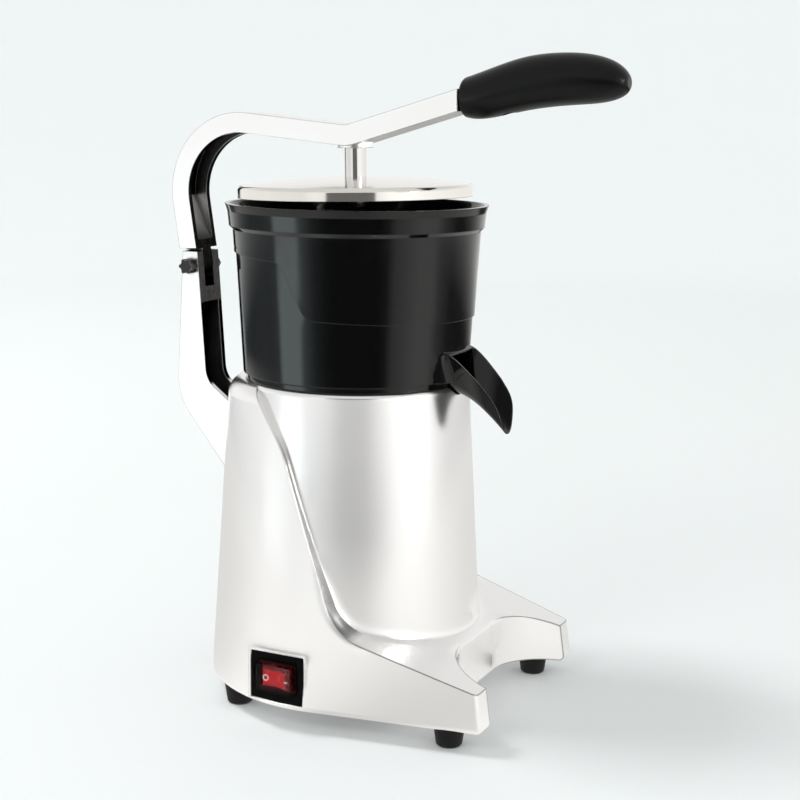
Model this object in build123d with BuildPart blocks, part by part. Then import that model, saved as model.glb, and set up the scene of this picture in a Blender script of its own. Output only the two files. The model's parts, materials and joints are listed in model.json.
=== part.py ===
from build123d import *
import os
from math import acos, atan2, cos, hypot, radians, sin, sqrt, tan

# Electric citrus juicer with a lever press. Millimetres, +Z up, standing on z = 0.
# The front, with the spout and the grip, is -Y. The switch is on the -X side.
# Side sizes are measured from the bowl axis, which the motor shaft lies on.

# Clearances
PRESS_GAP = 0.02
RUN_GAP = 0.05
SEAT_GAP = 0.3

# Feet and body casting
FOOT_H = 11.0
FOOT_TOP_R = 8.5
FOOT_TIP_R = 7.0
FOOT_FRONT_IN = 21.5
FOOT_REAR_IN = 10.1
FOOT_REAR_TURN = 36.25
BODY_H = 169.5
WALL = 4.2
BARREL_TOP_R = 63.7
BARREL_SLOPE = 0.0604
BARREL_EDGE_R = 3.0
COWL_FOOT_OUT = 10.5622
COWL_FOOT_BACK = -3.0
COWL_HEAD_OUT = 1.3
COWL_HEAD_BACK = 7.0
COWL_SHOULDER_R = 10.0
HORN_FOOT_IN = 15.0
HORN_FOOT_OUT = 25.0
HORN_HEAD_IN = 3.0
HORN_HEAD_OUT = 20.0
HORN_CORNER_R = 3.2
HORN_TOP = 20.5
LEDGE_SLOPE = 15.7
SWEEP_SLOPE = 68.9
SWEEP_R = 30.0
SWEEP_START = 27.9
SWEEP_OVERRUN = 20.0
CREST_SLOPE = 52.8
CREST_R = 60.0
CREST_H = 138.4
LOWER_EDGE_R = 3.0
GLASS_NOTCH_DEPTH = 32.0
HORN_W = 13.0
GLASS_NOTCH_R = 34.0
DECK_T = 6.0
SEAT_RING_H = 7.5
SEAT_RING_W = 8.0
BOSS_R = 14.0
BOSS_H = 24.0
BASE_ROOM_H = 29.0
BASE_ROOM_REACH = 52.0
SPOUT_NOTCH_GAP = 0.8

# Juice bowl and spout
BOWL_FOOT_H = 2.7
BOWL_H = 93.6
BOWL_BOTTOM_OUT = 0.5
BOWL_SLOPE = 0.058
BOWL_WALL = 2.6
BOWL_STEP = 1.0
BOWL_EDGE_R = 3.0
RIM_BAND_H = 14.1
RIM_BAND_OUT = 2.0
RIM_FLARE = 1.4
BOWL_FLOOR_T = 3.4
BOWL_TUBE_H = 19.0
BOWL_TUBE_GAP = 1.5
BOWL_FOOT_IN = 2.7
BOWL_FOOT_W = 4.5
RIM_FLARE_H = 4.0
BOWL_CORNER_R = 5.0
SWAGE_H = 65.3
SWAGE_DROP = 29.5
SWAGE_TURN = 11.0
SWAGE_RUN = 15.0
SWAGE_RISE = 0.045
SWAGE_R = 8.0
SPOUT_ROOT_X = 17.3
SPOUT_TIP_X = 12.8
SPOUT_ROOT_TOP = 16.0
SPOUT_ROOT_DROP = 7.2
SPOUT_TIP_TOP = -12.0
SPOUT_TIP_DROP = 27.4
SPOUT_REACH = 28.6
SPOUT_WALL = 1.3
SPOUT_PORT = 0.01
SPOUT_FLARE = 9.5
SPOUT_SUMP = 9.0
SPOUT_LIP = ((0.6, 0.34), (0.72, 0.44), (0.83, 0.537), (0.906, 0.636), (0.972, 0.864), (1.0, 1.0))

# Strainer and reamer
STRAINER_T = 1.6
STRAINER_RISE = 12.0
STRAINER_RIM_H = 8.0
STRAINER_SLOTS = 30
STRAINER_SLOT_W = 2.2
REAMER_R = 36.0
REAMER_H = 48.0
REAMER_RIBS = 10
REAMER_RIB_T = 3.2
REAMER_RIB_OUT = 2.4
REAMER_CLEAR = 2.5
HUB_ACROSS = 15.0
HUB_H = 16.0
STRAINER_SLOT_L = 24.0
STRAINER_HUB_T = 1.6

# Motor
SHAFT_R = 6.0
SPINDLE_R = 5.0
MOTOR_ROOM = 5.07
MOTOR_CLEAR = 2.2
STATOR_SLOTS = 16
AIR_GAP = 0.5
WINDING_H = 11.0
BRACKET_T = 6.0
BRACKET_DROP = 17.0
WINDING_ROOM = 2.7
BEARING_R = 16.0
BEARING_H = 10.0
MOTOR_BOLT_R = 2.5
MOTOR_BOLT_IN = 8.0
MOTOR_BOLT_GRIP = 12.0
PILLAR_R = 6.0
FAN_IN = 2.0
FAN_H = 10.0
FAN_BLADES = 9
SEAL_R = 11.0
SEAL_H = 6.0
ROTOR_RING_H = 3.0
BEARING_LIP = 1.0
FAN_GAP = 6.0
FAN_HUB_R = 11.0
FAN_BLADE_T = 1.8

# Lever hinge, post and arm, drawn with the lever closed
REST_LIFT = 1.3
RIM_TO_PIVOT = 30.0
PIVOT_BELOW_RIM = 39.3
PIVOT_R = 3.0
BUSH_R = 4.3
PIVOT_HEAD_R = 4.6
PIVOT_HEAD_H = 5.0
PIVOT_NUT_H = 4.0
LEVER_W = 22.0
TONGUE_T = 9.0
TONGUE_R = 5.6
EAR_TOP = 8.4
EAR_DEPTH = 10.0
SHOULDER_GAP = 1.8
POST_WALL = 3.2
POST_BACK_WALL = 4.0
POST_LEAN = 3.2
POST_FALL = 51.0
POST_KNEE = 77.0
POST_KNEE_R = 35.0
POST_DEPTH = 20.0
POST_PAD_IN = 2.0
POST_SCREW_R = 2.5
POST_SCREW_IN = 11.0
CROOK_UP = 10.5
CROOK_FALL = 36.0
CROOK_R = 14.0
POST_CHANNEL_TOP = 21.0
POST_END_T = 6.0
SLOT_BELOW = 7.2
POCKET_BELOW = 12.0
LEG_BACK = 1.2
ARM_T = 11.2
ARM_WEB = 3.4
LEG_LEAN = 7.5
ARM_FALL = 6.7
ARM_RISE = 15.2
ARM_BEND_R = 39.4
KINK_R = 18.0
KINK_ABOVE_RIM = 34.5
CHANNEL_START = 5.0
CHANNEL_FULL = 36.0
CHANNEL_END = 16.0
GRIP_ROOT = 66.0
GRIP_L = 90.0
GRIP_W = 26.0
GRIP_H = 27.5
GRIP_SWING = 2.0
BACK_BULGE = 11.4
TANG_L = 50.0
TANG_H = 7.0
TANG_W = 12.0
# Grip sections: share of its length, then shares of its height for the rise of its centre
# and its height, and share of its width
GRIP_SECTIONS = [
    (0.0, 0.055, 0.74, 0.88),
    (0.075, 0.07, 0.85, 0.94),
    (0.21, 0.16, 0.95, 0.98),
    (0.4, 0.295, 1.0, 1.0),
    (0.57, 0.35, 0.985, 1.0),
    (0.71, 0.355, 0.945, 0.97),
    (0.84, 0.33, 0.84, 0.89),
    (0.93, 0.298, 0.65, 0.74),
    (0.98, 0.272, 0.42, 0.52),
    (1.0, 0.265, 0.2, 0.26),
]
GRIP_ROOT_R = 2.5
GRIP_SCREW_AT = 25.0
GRIP_SCREW_SINK = 6.0

# Presser, lid and their fixings
STEM_R = 6.2
STEM_STUD_R = 4.0
LID_OUT = 1.1
LID_T = 1.2
LID_GAP = 1.4
LID_SKIRT_H = 6.4
LID_CROWN = 4.6
CUP_R = 45.0
CUP_WALL = 3.0
CUP_H = 33.0
CUP_CLEAR = 6.0
CUP_TOP_T = 4.0
STEM_BOSS_R = 10.0
STEM_BOSS_H = 1.0
STUD_L = 8.0
LID_EDGE_R = 2.5
CLIP_R = 9.0
CLIP_T = 1.2
GROOVE_DEPTH = 0.8
CUP_SCREW_L = 12.0
CUP_SCREW_HEAD_R = 6.0

# Switch, cord gland and base plate
SWITCH_W = 32.2
SWITCH_H = 26.2
SWITCH_BACK = 4.2
SWITCH_UP = 16.6
SWITCH_RIM = 1.6
SWITCH_IN = 2.3
SWITCH_SINK = 0.8
FLANGE_T = 2.0
HOUSING_W = 28.0
HOUSING_H = 21.5
CAP_W = 24.3
CAP_H = 18.0
CAP_OUT = 5.5
CAP_T = 1.0
HOUSING_DEPTH = 16.0
ROCKER_W = 18.0
ROCKER_H = 12.0
ROCKER_TILT = 8.0
ROCKER_DEPTH = 6.0
ROCKER_PIVOT = 3.0
GLAND_UP = 15.0
GLAND_R = 6.0
GLAND_BORE_R = 3.6
GLAND_SINK = 2.0
GLAND_FLANGE_R = 9.5
PLATE_T = 2.0
GLAND_FLANGE_H = 6.0
GLAND_NUT_R = 9.0
GLAND_NUT_H = 4.0
FOOT_SINK = 5.0
VENTS = 7
VENT_W = 4.0
VENT_L = 34.0
PLATE_BOSS_R = 6.0
PLATE_BOSS_IN = 20.5
PLATE_BOSS_REACH = 36.0
SCREW_GRIP = 12.0
SCREW_R = 2.0
SCREW_HEAD_R = 3.6
SCREW_HEAD_H = 2.4
CAPACITOR_R = 13.0
CAPACITOR_L = 52.0
CAPACITOR_IN = 34.1
CLIP_W = 12.0
CLIP_SHEET = 1.2
CLIP_TAB = 9.0
TERMINAL_W = 34.0
TERMINAL_D = 15.0
TERMINAL_H = 13.0
TERMINAL_REACH = 44.0

# Heights that follow from the stack of pieces
PLATE_TOP = FOOT_H + PLATE_T
BODY_TOP = FOOT_H + BODY_H
BOWL_BOTTOM = BODY_TOP + BOWL_FOOT_H
RIM_TOP = BOWL_BOTTOM + BOWL_H
BOWL_FLOOR = BOWL_BOTTOM + BOWL_FLOOR_T
DECK_TOP = BODY_TOP - SEAT_RING_H
DECK_LOW = DECK_TOP - DECK_T

# Sizes across that follow from the barrel's top and from the body's height
BARREL_FOOT_R = BARREL_TOP_R + BODY_H * BARREL_SLOPE
COWL_FOOT_R = BARREL_FOOT_R + COWL_FOOT_OUT
COWL_HEAD_R = BARREL_TOP_R + COWL_HEAD_OUT
BASE_ROOM_R = COWL_FOOT_R - 2 * WALL
HORN_FOOT_X = COWL_FOOT_R - HORN_FOOT_IN
HORN_FOOT_REACH = COWL_FOOT_R + HORN_FOOT_OUT
HORN_HEAD_X = COWL_HEAD_R - HORN_HEAD_IN
HORN_HEAD_REACH = COWL_HEAD_R + HORN_HEAD_OUT
GLASS_NOTCH_W = 2 * (HORN_FOOT_X - HORN_W)
FOOT_FRONT_X = HORN_FOOT_X - FOOT_TOP_R
FOOT_FRONT_REACH = HORN_FOOT_REACH - FOOT_FRONT_IN
FOOT_REAR_X = (COWL_FOOT_R - FOOT_REAR_IN) * cos(radians(FOOT_REAR_TURN))
FOOT_REAR_REACH = COWL_FOOT_BACK + (COWL_FOOT_R - FOOT_REAR_IN) * sin(radians(FOOT_REAR_TURN))
PLATE_BOSS_X = COWL_FOOT_R - PLATE_BOSS_IN
SWITCH_OUT = COWL_FOOT_R - SWITCH_IN
POST_PAD = COWL_HEAD_R + COWL_HEAD_BACK - POST_PAD_IN
CAPACITOR_BACK = BASE_ROOM_R - CAPACITOR_IN
BOWL_BOTTOM_R = BARREL_TOP_R + BOWL_BOTTOM_OUT
BOWL_FOOT_R = BARREL_TOP_R - BOWL_FOOT_IN
LID_R = BOWL_BOTTOM_R + LID_OUT
RIM_R = BOWL_BOTTOM_R + BOWL_H * BOWL_SLOPE + RIM_BAND_OUT + RIM_FLARE
PIVOT_REACH = RIM_R + RIM_TO_PIVOT
PIVOT_Z = RIM_TOP - PIVOT_BELOW_RIM
KINK_Z = RIM_TOP + KINK_ABOVE_RIM

# The motor fills the barrel; its other sizes are shares of the stator's width
STATOR_W = (BARREL_TOP_R - WALL - MOTOR_ROOM) / 0.648
STATOR_CORNER_R = STATOR_W / 7
STATOR_BORE_R = STATOR_W / 3
WINDING_R = 0.4 * STATOR_W
WINDING_W = STATOR_W / 12
SLOT_R = 0.032 * STATOR_W
BELL_WALL = STATOR_W / 21
BELL_BORE_R = STATOR_W / 2 - BELL_WALL
MOTOR_BOLT_X = STATOR_W / 2 - MOTOR_BOLT_IN
FAN_R = STATOR_W / 2 - FAN_IN

# The origin stands under the middle of the whole juicer, so the bowl axis is behind it
FRONT_REACH = GRIP_ROOT + GRIP_L - GRIP_SWING
BACK_REACH = PIVOT_REACH + BACK_BULGE
AXIS_Y = (FRONT_REACH - BACK_REACH) / 2

BOWL_AXIS = Axis((0, AXIS_Y, 0), (0, 0, 1))
SIDE = Plane(origin=(0, AXIS_Y, 0), x_dir=(0, 1, 0), z_dir=(1, 0, 0))


def level(z):
    """Horizontal sketch plane at height z, centred on the bowl axis."""
    return Plane((0, AXIS_Y, z))


def save(piece, name):
    """Label a finished piece and write it to its own file."""
    piece.part.label = name
    export_step(piece.part, f"parts/{name}.step")


def barrel_r(z):
    """Outer radius of the body's tapered barrel at height z."""
    return BARREL_TOP_R + (BODY_TOP - z) * BARREL_SLOPE


def bowl_r(z):
    """Outer radius of the bowl's wall at height z, below its rim band."""
    return BOWL_BOTTOM_R + (z - BOWL_BOTTOM) * BOWL_SLOPE


def cowl_outline(radius, back, horn_x, horn_reach):
    """Round back with two straight flanks that run tangent to the horns."""
    dx, dy = horn_x, -horn_reach - back
    turn = atan2(dy, dx) + acos(radius / hypot(dx, dy))
    x, y = radius * cos(turn), back + radius * sin(turn)
    with BuildLine() as outline:
        ThreePointArc((x, y), (0, back + radius), (-x, y))
        Polyline((-x, y), (-horn_x, -horn_reach), (horn_x, -horn_reach), (x, y))
    make_face(outline.edges())


def miter(points, distance):
    """Shift an open chain of side points to its left by a distance."""
    normals = []
    for (ax, ay), (bx, by) in zip(points, points[1:]):
        run = hypot(bx - ax, by - ay)
        normals.append(((ay - by) / run, (bx - ax) / run))
    shifted = []
    for i, (px, py) in enumerate(points):
        ax, ay = normals[max(i - 1, 0)]
        bx, by = normals[min(i, len(normals) - 1)]
        scale = distance / (1 + ax * bx + ay * by)
        shifted.append((px + (ax + bx) * scale, py + (ay + by) * scale))
    return shifted


def on_line(a, b, y):
    """Side point at distance y behind the bowl axis, on the line through two others."""
    return (y, a[1] + (b[1] - a[1]) * (y - a[0]) / (b[0] - a[0]))


def at_height(a, b, z):
    """Side point at height z, on the line through two others."""
    return (a[0] + (b[0] - a[0]) * (z - a[1]) / (b[1] - a[1]), z)


def room_outline(gap):
    """Inside outline of the foot: the motor room with the wider base room behind it."""
    Circle(barrel_r(FOOT_H) - WALL - gap)
    with BuildSketch(mode=Mode.PRIVATE) as wide:
        with Locations((0, COWL_FOOT_BACK)):
            Circle(BASE_ROOM_R - gap)
        with Locations((0, gap - BASE_ROOM_REACH)):
            Rectangle(2 * COWL_FOOT_R, 2 * COWL_FOOT_R, align=(Align.CENTER, Align.MIN), mode=Mode.INTERSECT)
    add(wide.sketch)


def screws(places, name, shank, head_r=SCREW_HEAD_R, radius=SCREW_R):
    """Group of screws: each place is the plane under a head, its normal along the shank."""
    with BuildPart() as group:
        for place in places:
            with BuildSketch(place):
                Circle(head_r)
            extrude(amount=-SCREW_HEAD_H)
            with BuildSketch(place):
                Circle(radius)
            extrude(amount=shank)
    save(group, name)


# Cowl sweep: the edge that falls from the shoulder, turns and runs out along the horns
SWEEP_Z = FOOT_H + HORN_TOP + (HORN_FOOT_REACH - SWEEP_START) * tan(radians(LEDGE_SLOPE))
CREST_Y = -SWEEP_START + (FOOT_H + CREST_H - SWEEP_Z) / tan(radians(SWEEP_SLOPE))
SWEEP_END = BODY_TOP + SWEEP_OVERRUN
SWEEP_END_Y = CREST_Y + (SWEEP_END - FOOT_H - CREST_H) / tan(radians(CREST_SLOPE))
LEDGE_END = (
    -HORN_FOOT_REACH - SWEEP_OVERRUN,
    FOOT_H + HORN_TOP - SWEEP_OVERRUN * tan(radians(LEDGE_SLOPE)),
)
NOTCH_BACK = HORN_FOOT_REACH - GLASS_NOTCH_DEPTH
FEET = {
    "foot_front_left": (-FOOT_FRONT_X, -FOOT_FRONT_REACH),
    "foot_front_right": (FOOT_FRONT_X, -FOOT_FRONT_REACH),
    "foot_rear_left": (-FOOT_REAR_X, FOOT_REAR_REACH),
    "foot_rear_right": (FOOT_REAR_X, FOOT_REAR_REACH),
}

PLATE_BOSSES = [
    (-PLATE_BOSS_X, -PLATE_BOSS_REACH),
    (PLATE_BOSS_X, -PLATE_BOSS_REACH),
    FEET["foot_rear_left"],
    FEET["foot_rear_right"],
]

# Planes that look out of the body: the switch, the cord gland and the pad of the post
SWITCH_FACE = Plane(
    origin=(-SWITCH_OUT, AXIS_Y + SWITCH_BACK, FOOT_H + SWITCH_UP), x_dir=(0, -1, 0), z_dir=(-1, 0, 0)
)
GLAND_FACE = Plane(
    origin=(0, AXIS_Y + COWL_FOOT_R + COWL_FOOT_BACK - GLAND_SINK, FOOT_H + GLAND_UP),
    x_dir=(-1, 0, 0),
    z_dir=(0, 1, 0),
)
PAD_FACE = Plane(origin=(0, AXIS_Y + POST_PAD, 0), x_dir=(-1, 0, 0), z_dir=(0, 1, 0))

# Side outline of the post, from the ears down the back to its pad on the body
EAR_BACK = PIVOT_REACH + EAR_DEPTH / 2
EAR_FRONT = PIVOT_REACH - EAR_DEPTH / 2
EAR_Z = PIVOT_Z + EAR_TOP
KNEE_Z = PIVOT_Z - POST_KNEE
KNEE_Y = EAR_BACK + (EAR_Z - KNEE_Z) * tan(radians(POST_LEAN))
PAD_LOW = KNEE_Z - (KNEE_Y - POST_PAD) * tan(radians(POST_FALL))
CROOK_Y = KNEE_Y - POST_DEPTH
CROOK_Z = KNEE_Z + CROOK_UP
PAD_HIGH = CROOK_Z - (CROOK_Y - POST_PAD) * tan(radians(CROOK_FALL))
POST_BACK = [(EAR_BACK, EAR_Z), (KNEE_Y, KNEE_Z), (POST_PAD, PAD_LOW)]
POST_SCREW_Z = [PAD_LOW + POST_SCREW_IN, PAD_HIGH - POST_SCREW_IN]


def post_outline():
    """Side face of the post, before its channel and slot are cut."""
    with BuildLine() as outline:
        FilletPolyline(*POST_BACK, radius=POST_KNEE_R)
        Line((POST_PAD, PAD_LOW), (POST_PAD, PAD_HIGH))
        FilletPolyline((POST_PAD, PAD_HIGH), (CROOK_Y, CROOK_Z), (EAR_FRONT, EAR_Z), radius=CROOK_R)
        Line((EAR_FRONT, EAR_Z), (EAR_BACK, EAR_Z))
    make_face(outline.edges())


def spout_plane(share):
    """Upright plane a share of the way from the bowl's wall to the spout's tip."""
    reach = BOWL_BOTTOM_R + SPOUT_REACH * share
    return Plane(origin=(0, AXIS_Y - reach, 0), x_dir=(1, 0, 0), z_dir=(0, -1, 0))


def spout_lip(share, fall):
    """Point of the spout's lip, from shares of its reach and of its fall from rim to tip."""
    top = BOWL_BOTTOM + SPOUT_ROOT_TOP
    return (-BOWL_BOTTOM_R - SPOUT_REACH * share, top - (SPOUT_ROOT_TOP + SPOUT_TIP_DROP) * fall)


def spout_outline(share, inset, top_up):
    """Section of the spout on its plane, a rounded V, or of its channel with an inset."""
    along = max(share, 0)
    half = SPOUT_ROOT_X + (SPOUT_TIP_X - SPOUT_ROOT_X) * along**1.35 - inset
    top = BOWL_BOTTOM + SPOUT_ROOT_TOP + (SPOUT_TIP_TOP - SPOUT_ROOT_TOP) * along**1.22
    low = BOWL_BOTTOM - SPOUT_ROOT_DROP + (SPOUT_ROOT_DROP - SPOUT_TIP_DROP) * along**1.5 + inset
    turn = low + 0.36 * half
    brim = half * (1 + 0.4 * top_up / (top - turn))
    with BuildLine() as outline:
        Polyline((0.6 * half, turn), (brim, top + top_up), (-brim, top + top_up), (-0.6 * half, turn))
        ThreePointArc((-0.6 * half, turn), (0, low), (0.6 * half, turn))
    make_face(outline.edges())


# Body casting: the cowl is a tapered shell with a round back, drawn out into two horns
with BuildPart() as body_casting:
    with BuildSketch(level(FOOT_H)):
        cowl_outline(COWL_FOOT_R, COWL_FOOT_BACK, HORN_FOOT_X, HORN_FOOT_REACH)
    with BuildSketch(level(BODY_TOP)):
        cowl_outline(COWL_HEAD_R, COWL_HEAD_BACK, HORN_HEAD_X, HORN_HEAD_REACH)
    loft(ruled=True)
    upright = body_casting.edges().filter_by(
        lambda e: abs(e.start_point().Z - e.end_point().Z) > BODY_H / 2
    )
    fillet(upright.sort_by(Axis.Y)[:2], HORN_CORNER_R)
    with BuildSketch(SIDE) as sweep_side:
        with BuildLine():
            FilletPolyline(
                LEDGE_END,
                (-SWEEP_START, SWEEP_Z),
                (CREST_Y, FOOT_H + CREST_H),
                (SWEEP_END_Y, SWEEP_END),
                radius=[SWEEP_R, CREST_R],
            )
            Polyline((SWEEP_END_Y, SWEEP_END), (LEDGE_END[0], SWEEP_END), LEDGE_END)
        make_face()
    extrude(amount=2 * COWL_FOOT_R, both=True, mode=Mode.SUBTRACT)
    shoulder = body_casting.faces().sort_by(Axis.Z)[-1].edges().filter_by(GeomType.CIRCLE)
    fillet(shoulder, COWL_SHOULDER_R)
    fillet(body_casting.faces().sort_by(Axis.Z)[0].edges(), LOWER_EDGE_R)
    # Bay between the horns, where the glass stands
    with BuildSketch(level(0)) as bay:
        with Locations((0, -NOTCH_BACK)):
            Rectangle(GLASS_NOTCH_W, BODY_H, align=(Align.CENTER, Align.MAX))
        fillet(bay.vertices().group_by(Axis.Y)[-1], GLASS_NOTCH_R)
    extrude(amount=BODY_TOP, mode=Mode.SUBTRACT)
    # Barrel round the motor
    with BuildSketch(SIDE) as barrel_side:
        with BuildLine():
            Polyline(
                (0, FOOT_H),
                (barrel_r(FOOT_H), FOOT_H),
                (BARREL_TOP_R, BODY_TOP),
                (0, BODY_TOP),
                close=True,
            )
        make_face()
        fillet(barrel_side.vertices().sort_by(Axis.Y)[-2:].sort_by(Axis.X)[-1], BARREL_EDGE_R)
    revolve(axis=BOWL_AXIS)
    # Motor room, base room and the recess under the bowl
    with BuildSketch(SIDE):
        with BuildLine():
            Polyline(
                (0, 0),
                (barrel_r(0) - WALL, 0),
                (barrel_r(DECK_LOW) - WALL, DECK_LOW),
                (0, DECK_LOW),
                close=True,
            )
        make_face()
    revolve(axis=BOWL_AXIS, mode=Mode.SUBTRACT)
    with BuildSketch(level(FOOT_H)):
        room_outline(0)
    extrude(amount=BASE_ROOM_H, mode=Mode.SUBTRACT)
    with BuildSketch(level(DECK_TOP)):
        Circle(BARREL_TOP_R - SEAT_RING_W)
    extrude(amount=SEAT_RING_H, mode=Mode.SUBTRACT)
    with BuildSketch(spout_plane(0)):
        spout_outline(0, -SPOUT_NOTCH_GAP, SPOUT_NOTCH_GAP)
    extrude(amount=SEAT_RING_W + 1, both=True, mode=Mode.SUBTRACT)
    # Shaft boss with the seal's seat, and pillars that the motor hangs from
    with BuildSketch(level(DECK_LOW)):
        Circle(BOSS_R)
    extrude(amount=DECK_T + BOSS_H)
    with BuildSketch(level(DECK_LOW)):
        with GridLocations(2 * MOTOR_BOLT_X, 2 * MOTOR_BOLT_X, 2, 2):
            Circle(PILLAR_R)
    extrude(amount=-BRACKET_DROP)
    with BuildSketch(level(DECK_LOW - BRACKET_DROP)):
        with GridLocations(2 * MOTOR_BOLT_X, 2 * MOTOR_BOLT_X, 2, 2):
            Circle(MOTOR_BOLT_R + RUN_GAP)
    extrude(amount=MOTOR_BOLT_GRIP + SEAT_GAP, mode=Mode.SUBTRACT)
    with BuildSketch(level(DECK_LOW)):
        Circle(SHAFT_R + 1)
    extrude(amount=DECK_T + BOSS_H, mode=Mode.SUBTRACT)
    with BuildSketch(level(DECK_TOP + BOSS_H - SEAL_H)):
        Circle(SEAL_R)
    extrude(amount=SEAL_H, mode=Mode.SUBTRACT)
    # Bosses for the base plate and the rear feet, with their screw holes
    with BuildSketch(level(FOOT_H + PLATE_T)):
        with Locations(*PLATE_BOSSES):
            Circle(PLATE_BOSS_R)
    extrude(amount=BASE_ROOM_H - PLATE_T)
    with BuildSketch(level(FOOT_H)):
        with Locations(*PLATE_BOSSES, *FEET.values()):
            Circle(SCREW_R + RUN_GAP)
    extrude(amount=SCREW_GRIP + PLATE_T + SEAT_GAP, mode=Mode.SUBTRACT)
    # Raised frame of the switch, its seat and the way in for its housing
    with BuildSketch(SWITCH_FACE):
        RectangleRounded(SWITCH_W + 2 * SWITCH_RIM, SWITCH_H + 2 * SWITCH_RIM, SWITCH_RIM)
    extrude(amount=BASE_ROOM_R - SWITCH_OUT)
    with BuildSketch(SWITCH_FACE.offset(WALL)):
        Rectangle(SWITCH_W + 2 * SEAT_GAP, SWITCH_H + 2 * SEAT_GAP)
    extrude(amount=-WALL - SWITCH_SINK - FLANGE_T, mode=Mode.SUBTRACT)
    with BuildSketch(SWITCH_FACE):
        Rectangle(HOUSING_W + 2 * SEAT_GAP, HOUSING_H + 2 * SEAT_GAP)
    extrude(amount=-4 * WALL, mode=Mode.SUBTRACT)
    # Flat and hole for the cord gland
    with BuildSketch(GLAND_FACE):
        Circle(GLAND_FLANGE_R + 1)
    extrude(amount=WALL, mode=Mode.SUBTRACT)
    with BuildSketch(GLAND_FACE):
        Circle(GLAND_R + SEAT_GAP)
    extrude(amount=-3 * WALL, mode=Mode.SUBTRACT)
    # Flat pad and screw holes for the lever post
    with BuildSketch(SIDE):
        post_outline()
        offset(amount=SEAT_GAP)
    extrude(amount=LEVER_W / 2 + SEAT_GAP, both=True, mode=Mode.SUBTRACT)
    with BuildSketch(PAD_FACE):
        with Locations(*[(0, z) for z in POST_SCREW_Z]):
            Circle(POST_SCREW_R + RUN_GAP)
    extrude(amount=-4 * WALL, mode=Mode.SUBTRACT)
save(body_casting, "body_casting")

# Lever post: a channel with two ears for the hinge
with BuildPart() as lever_post:
    with BuildSketch(SIDE):
        post_outline()
    extrude(amount=LEVER_W / 2, both=True)
    # Channel, open to the front, with an end plate left against the body
    inside = miter(POST_BACK, -POST_BACK_WALL)
    channel_top = PIVOT_Z - POST_CHANNEL_TOP
    channel_end = POST_PAD + POST_END_T
    with BuildSketch(SIDE):
        with BuildLine():
            FilletPolyline(
                at_height(inside[0], inside[1], channel_top),
                inside[1],
                on_line(inside[1], inside[2], channel_end),
                radius=POST_KNEE_R - POST_BACK_WALL,
            )
            Polyline(
                on_line(inside[1], inside[2], channel_end),
                (channel_end, CROOK_Z + CROOK_R),
                (CROOK_Y - CROOK_R, channel_top),
                at_height(inside[0], inside[1], channel_top),
            )
        make_face()
    extrude(amount=LEVER_W / 2 - POST_WALL, both=True, mode=Mode.SUBTRACT)
    # Slot for the arm's tongue, deeper at its front
    with BuildSketch(SIDE):
        with Locations((PIVOT_REACH, PIVOT_Z - SLOT_BELOW)):
            Rectangle(3 * EAR_DEPTH, EAR_TOP + 2 * SLOT_BELOW, align=(Align.CENTER, Align.MIN))
        with Locations((EAR_BACK - POST_BACK_WALL, PIVOT_Z - POCKET_BELOW)):
            Rectangle(2 * EAR_DEPTH, POCKET_BELOW, align=(Align.MAX, Align.MIN))
    extrude(amount=TONGUE_T / 2 + SEAT_GAP, both=True, mode=Mode.SUBTRACT)
    with BuildSketch(SIDE):
        with Locations((PIVOT_REACH, PIVOT_Z)):
            Circle(PIVOT_R + RUN_GAP)
    extrude(amount=LEVER_W, both=True, mode=Mode.SUBTRACT)
    with BuildSketch(PAD_FACE):
        with Locations(*[(0, z) for z in POST_SCREW_Z]):
            Circle(POST_SCREW_R + RUN_GAP)
    extrude(amount=2 * POST_END_T, mode=Mode.SUBTRACT)
save(lever_post, "lever_post")

post_screw_y = barrel_r(PAD_HIGH) - WALL - SEAT_GAP
screws(
    [
        Plane(origin=(0, AXIS_Y + post_screw_y, z), x_dir=(-1, 0, 0), z_dir=(0, 1, 0))
        for z in POST_SCREW_Z
    ],
    "post_screws",
    POST_PAD + POST_END_T - post_screw_y,
    radius=POST_SCREW_R,
)

# Juice bowl: the step below the swage line is cut first as a ring
BAND_LOW = RIM_TOP - RIM_BAND_H
SWAGE_Z = BOWL_BOTTOM + SWAGE_H
SWAGE_LOW = SWAGE_Z - SWAGE_DROP
SWAGE_END = RIM_R + RIM_BAND_H
with BuildPart() as bowl_relief:
    with BuildSketch(SIDE):
        with BuildLine():
            Polyline(
                (BOWL_BOTTOM_R - BOWL_STEP, BOWL_BOTTOM),
                (bowl_r(BAND_LOW) - BOWL_STEP, BAND_LOW),
                (SWAGE_END, BAND_LOW),
                (SWAGE_END, BOWL_BOTTOM),
                close=True,
            )
        make_face()
    revolve(axis=BOWL_AXIS)
    with BuildSketch(SIDE):
        with BuildLine():
            swage = [
                (SWAGE_END, SWAGE_Z + (SWAGE_END - SWAGE_TURN) * SWAGE_RISE),
                (SWAGE_TURN, SWAGE_Z),
                (SWAGE_TURN - SWAGE_RUN, SWAGE_LOW),
                (-SWAGE_END, SWAGE_LOW - (SWAGE_END + SWAGE_TURN - SWAGE_RUN) * SWAGE_RISE),
            ]
            FilletPolyline(*swage, radius=SWAGE_R)
            Polyline(swage[-1], (-SWAGE_END, BOWL_BOTTOM), (SWAGE_END, BOWL_BOTTOM), swage[0])
        make_face()
    extrude(amount=2 * SWAGE_END, both=True, mode=Mode.INTERSECT)


def bowl_in(z):
    """Inner radius of the bowl's wall at height z."""
    return bowl_r(z) - BOWL_STEP - BOWL_WALL


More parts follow.
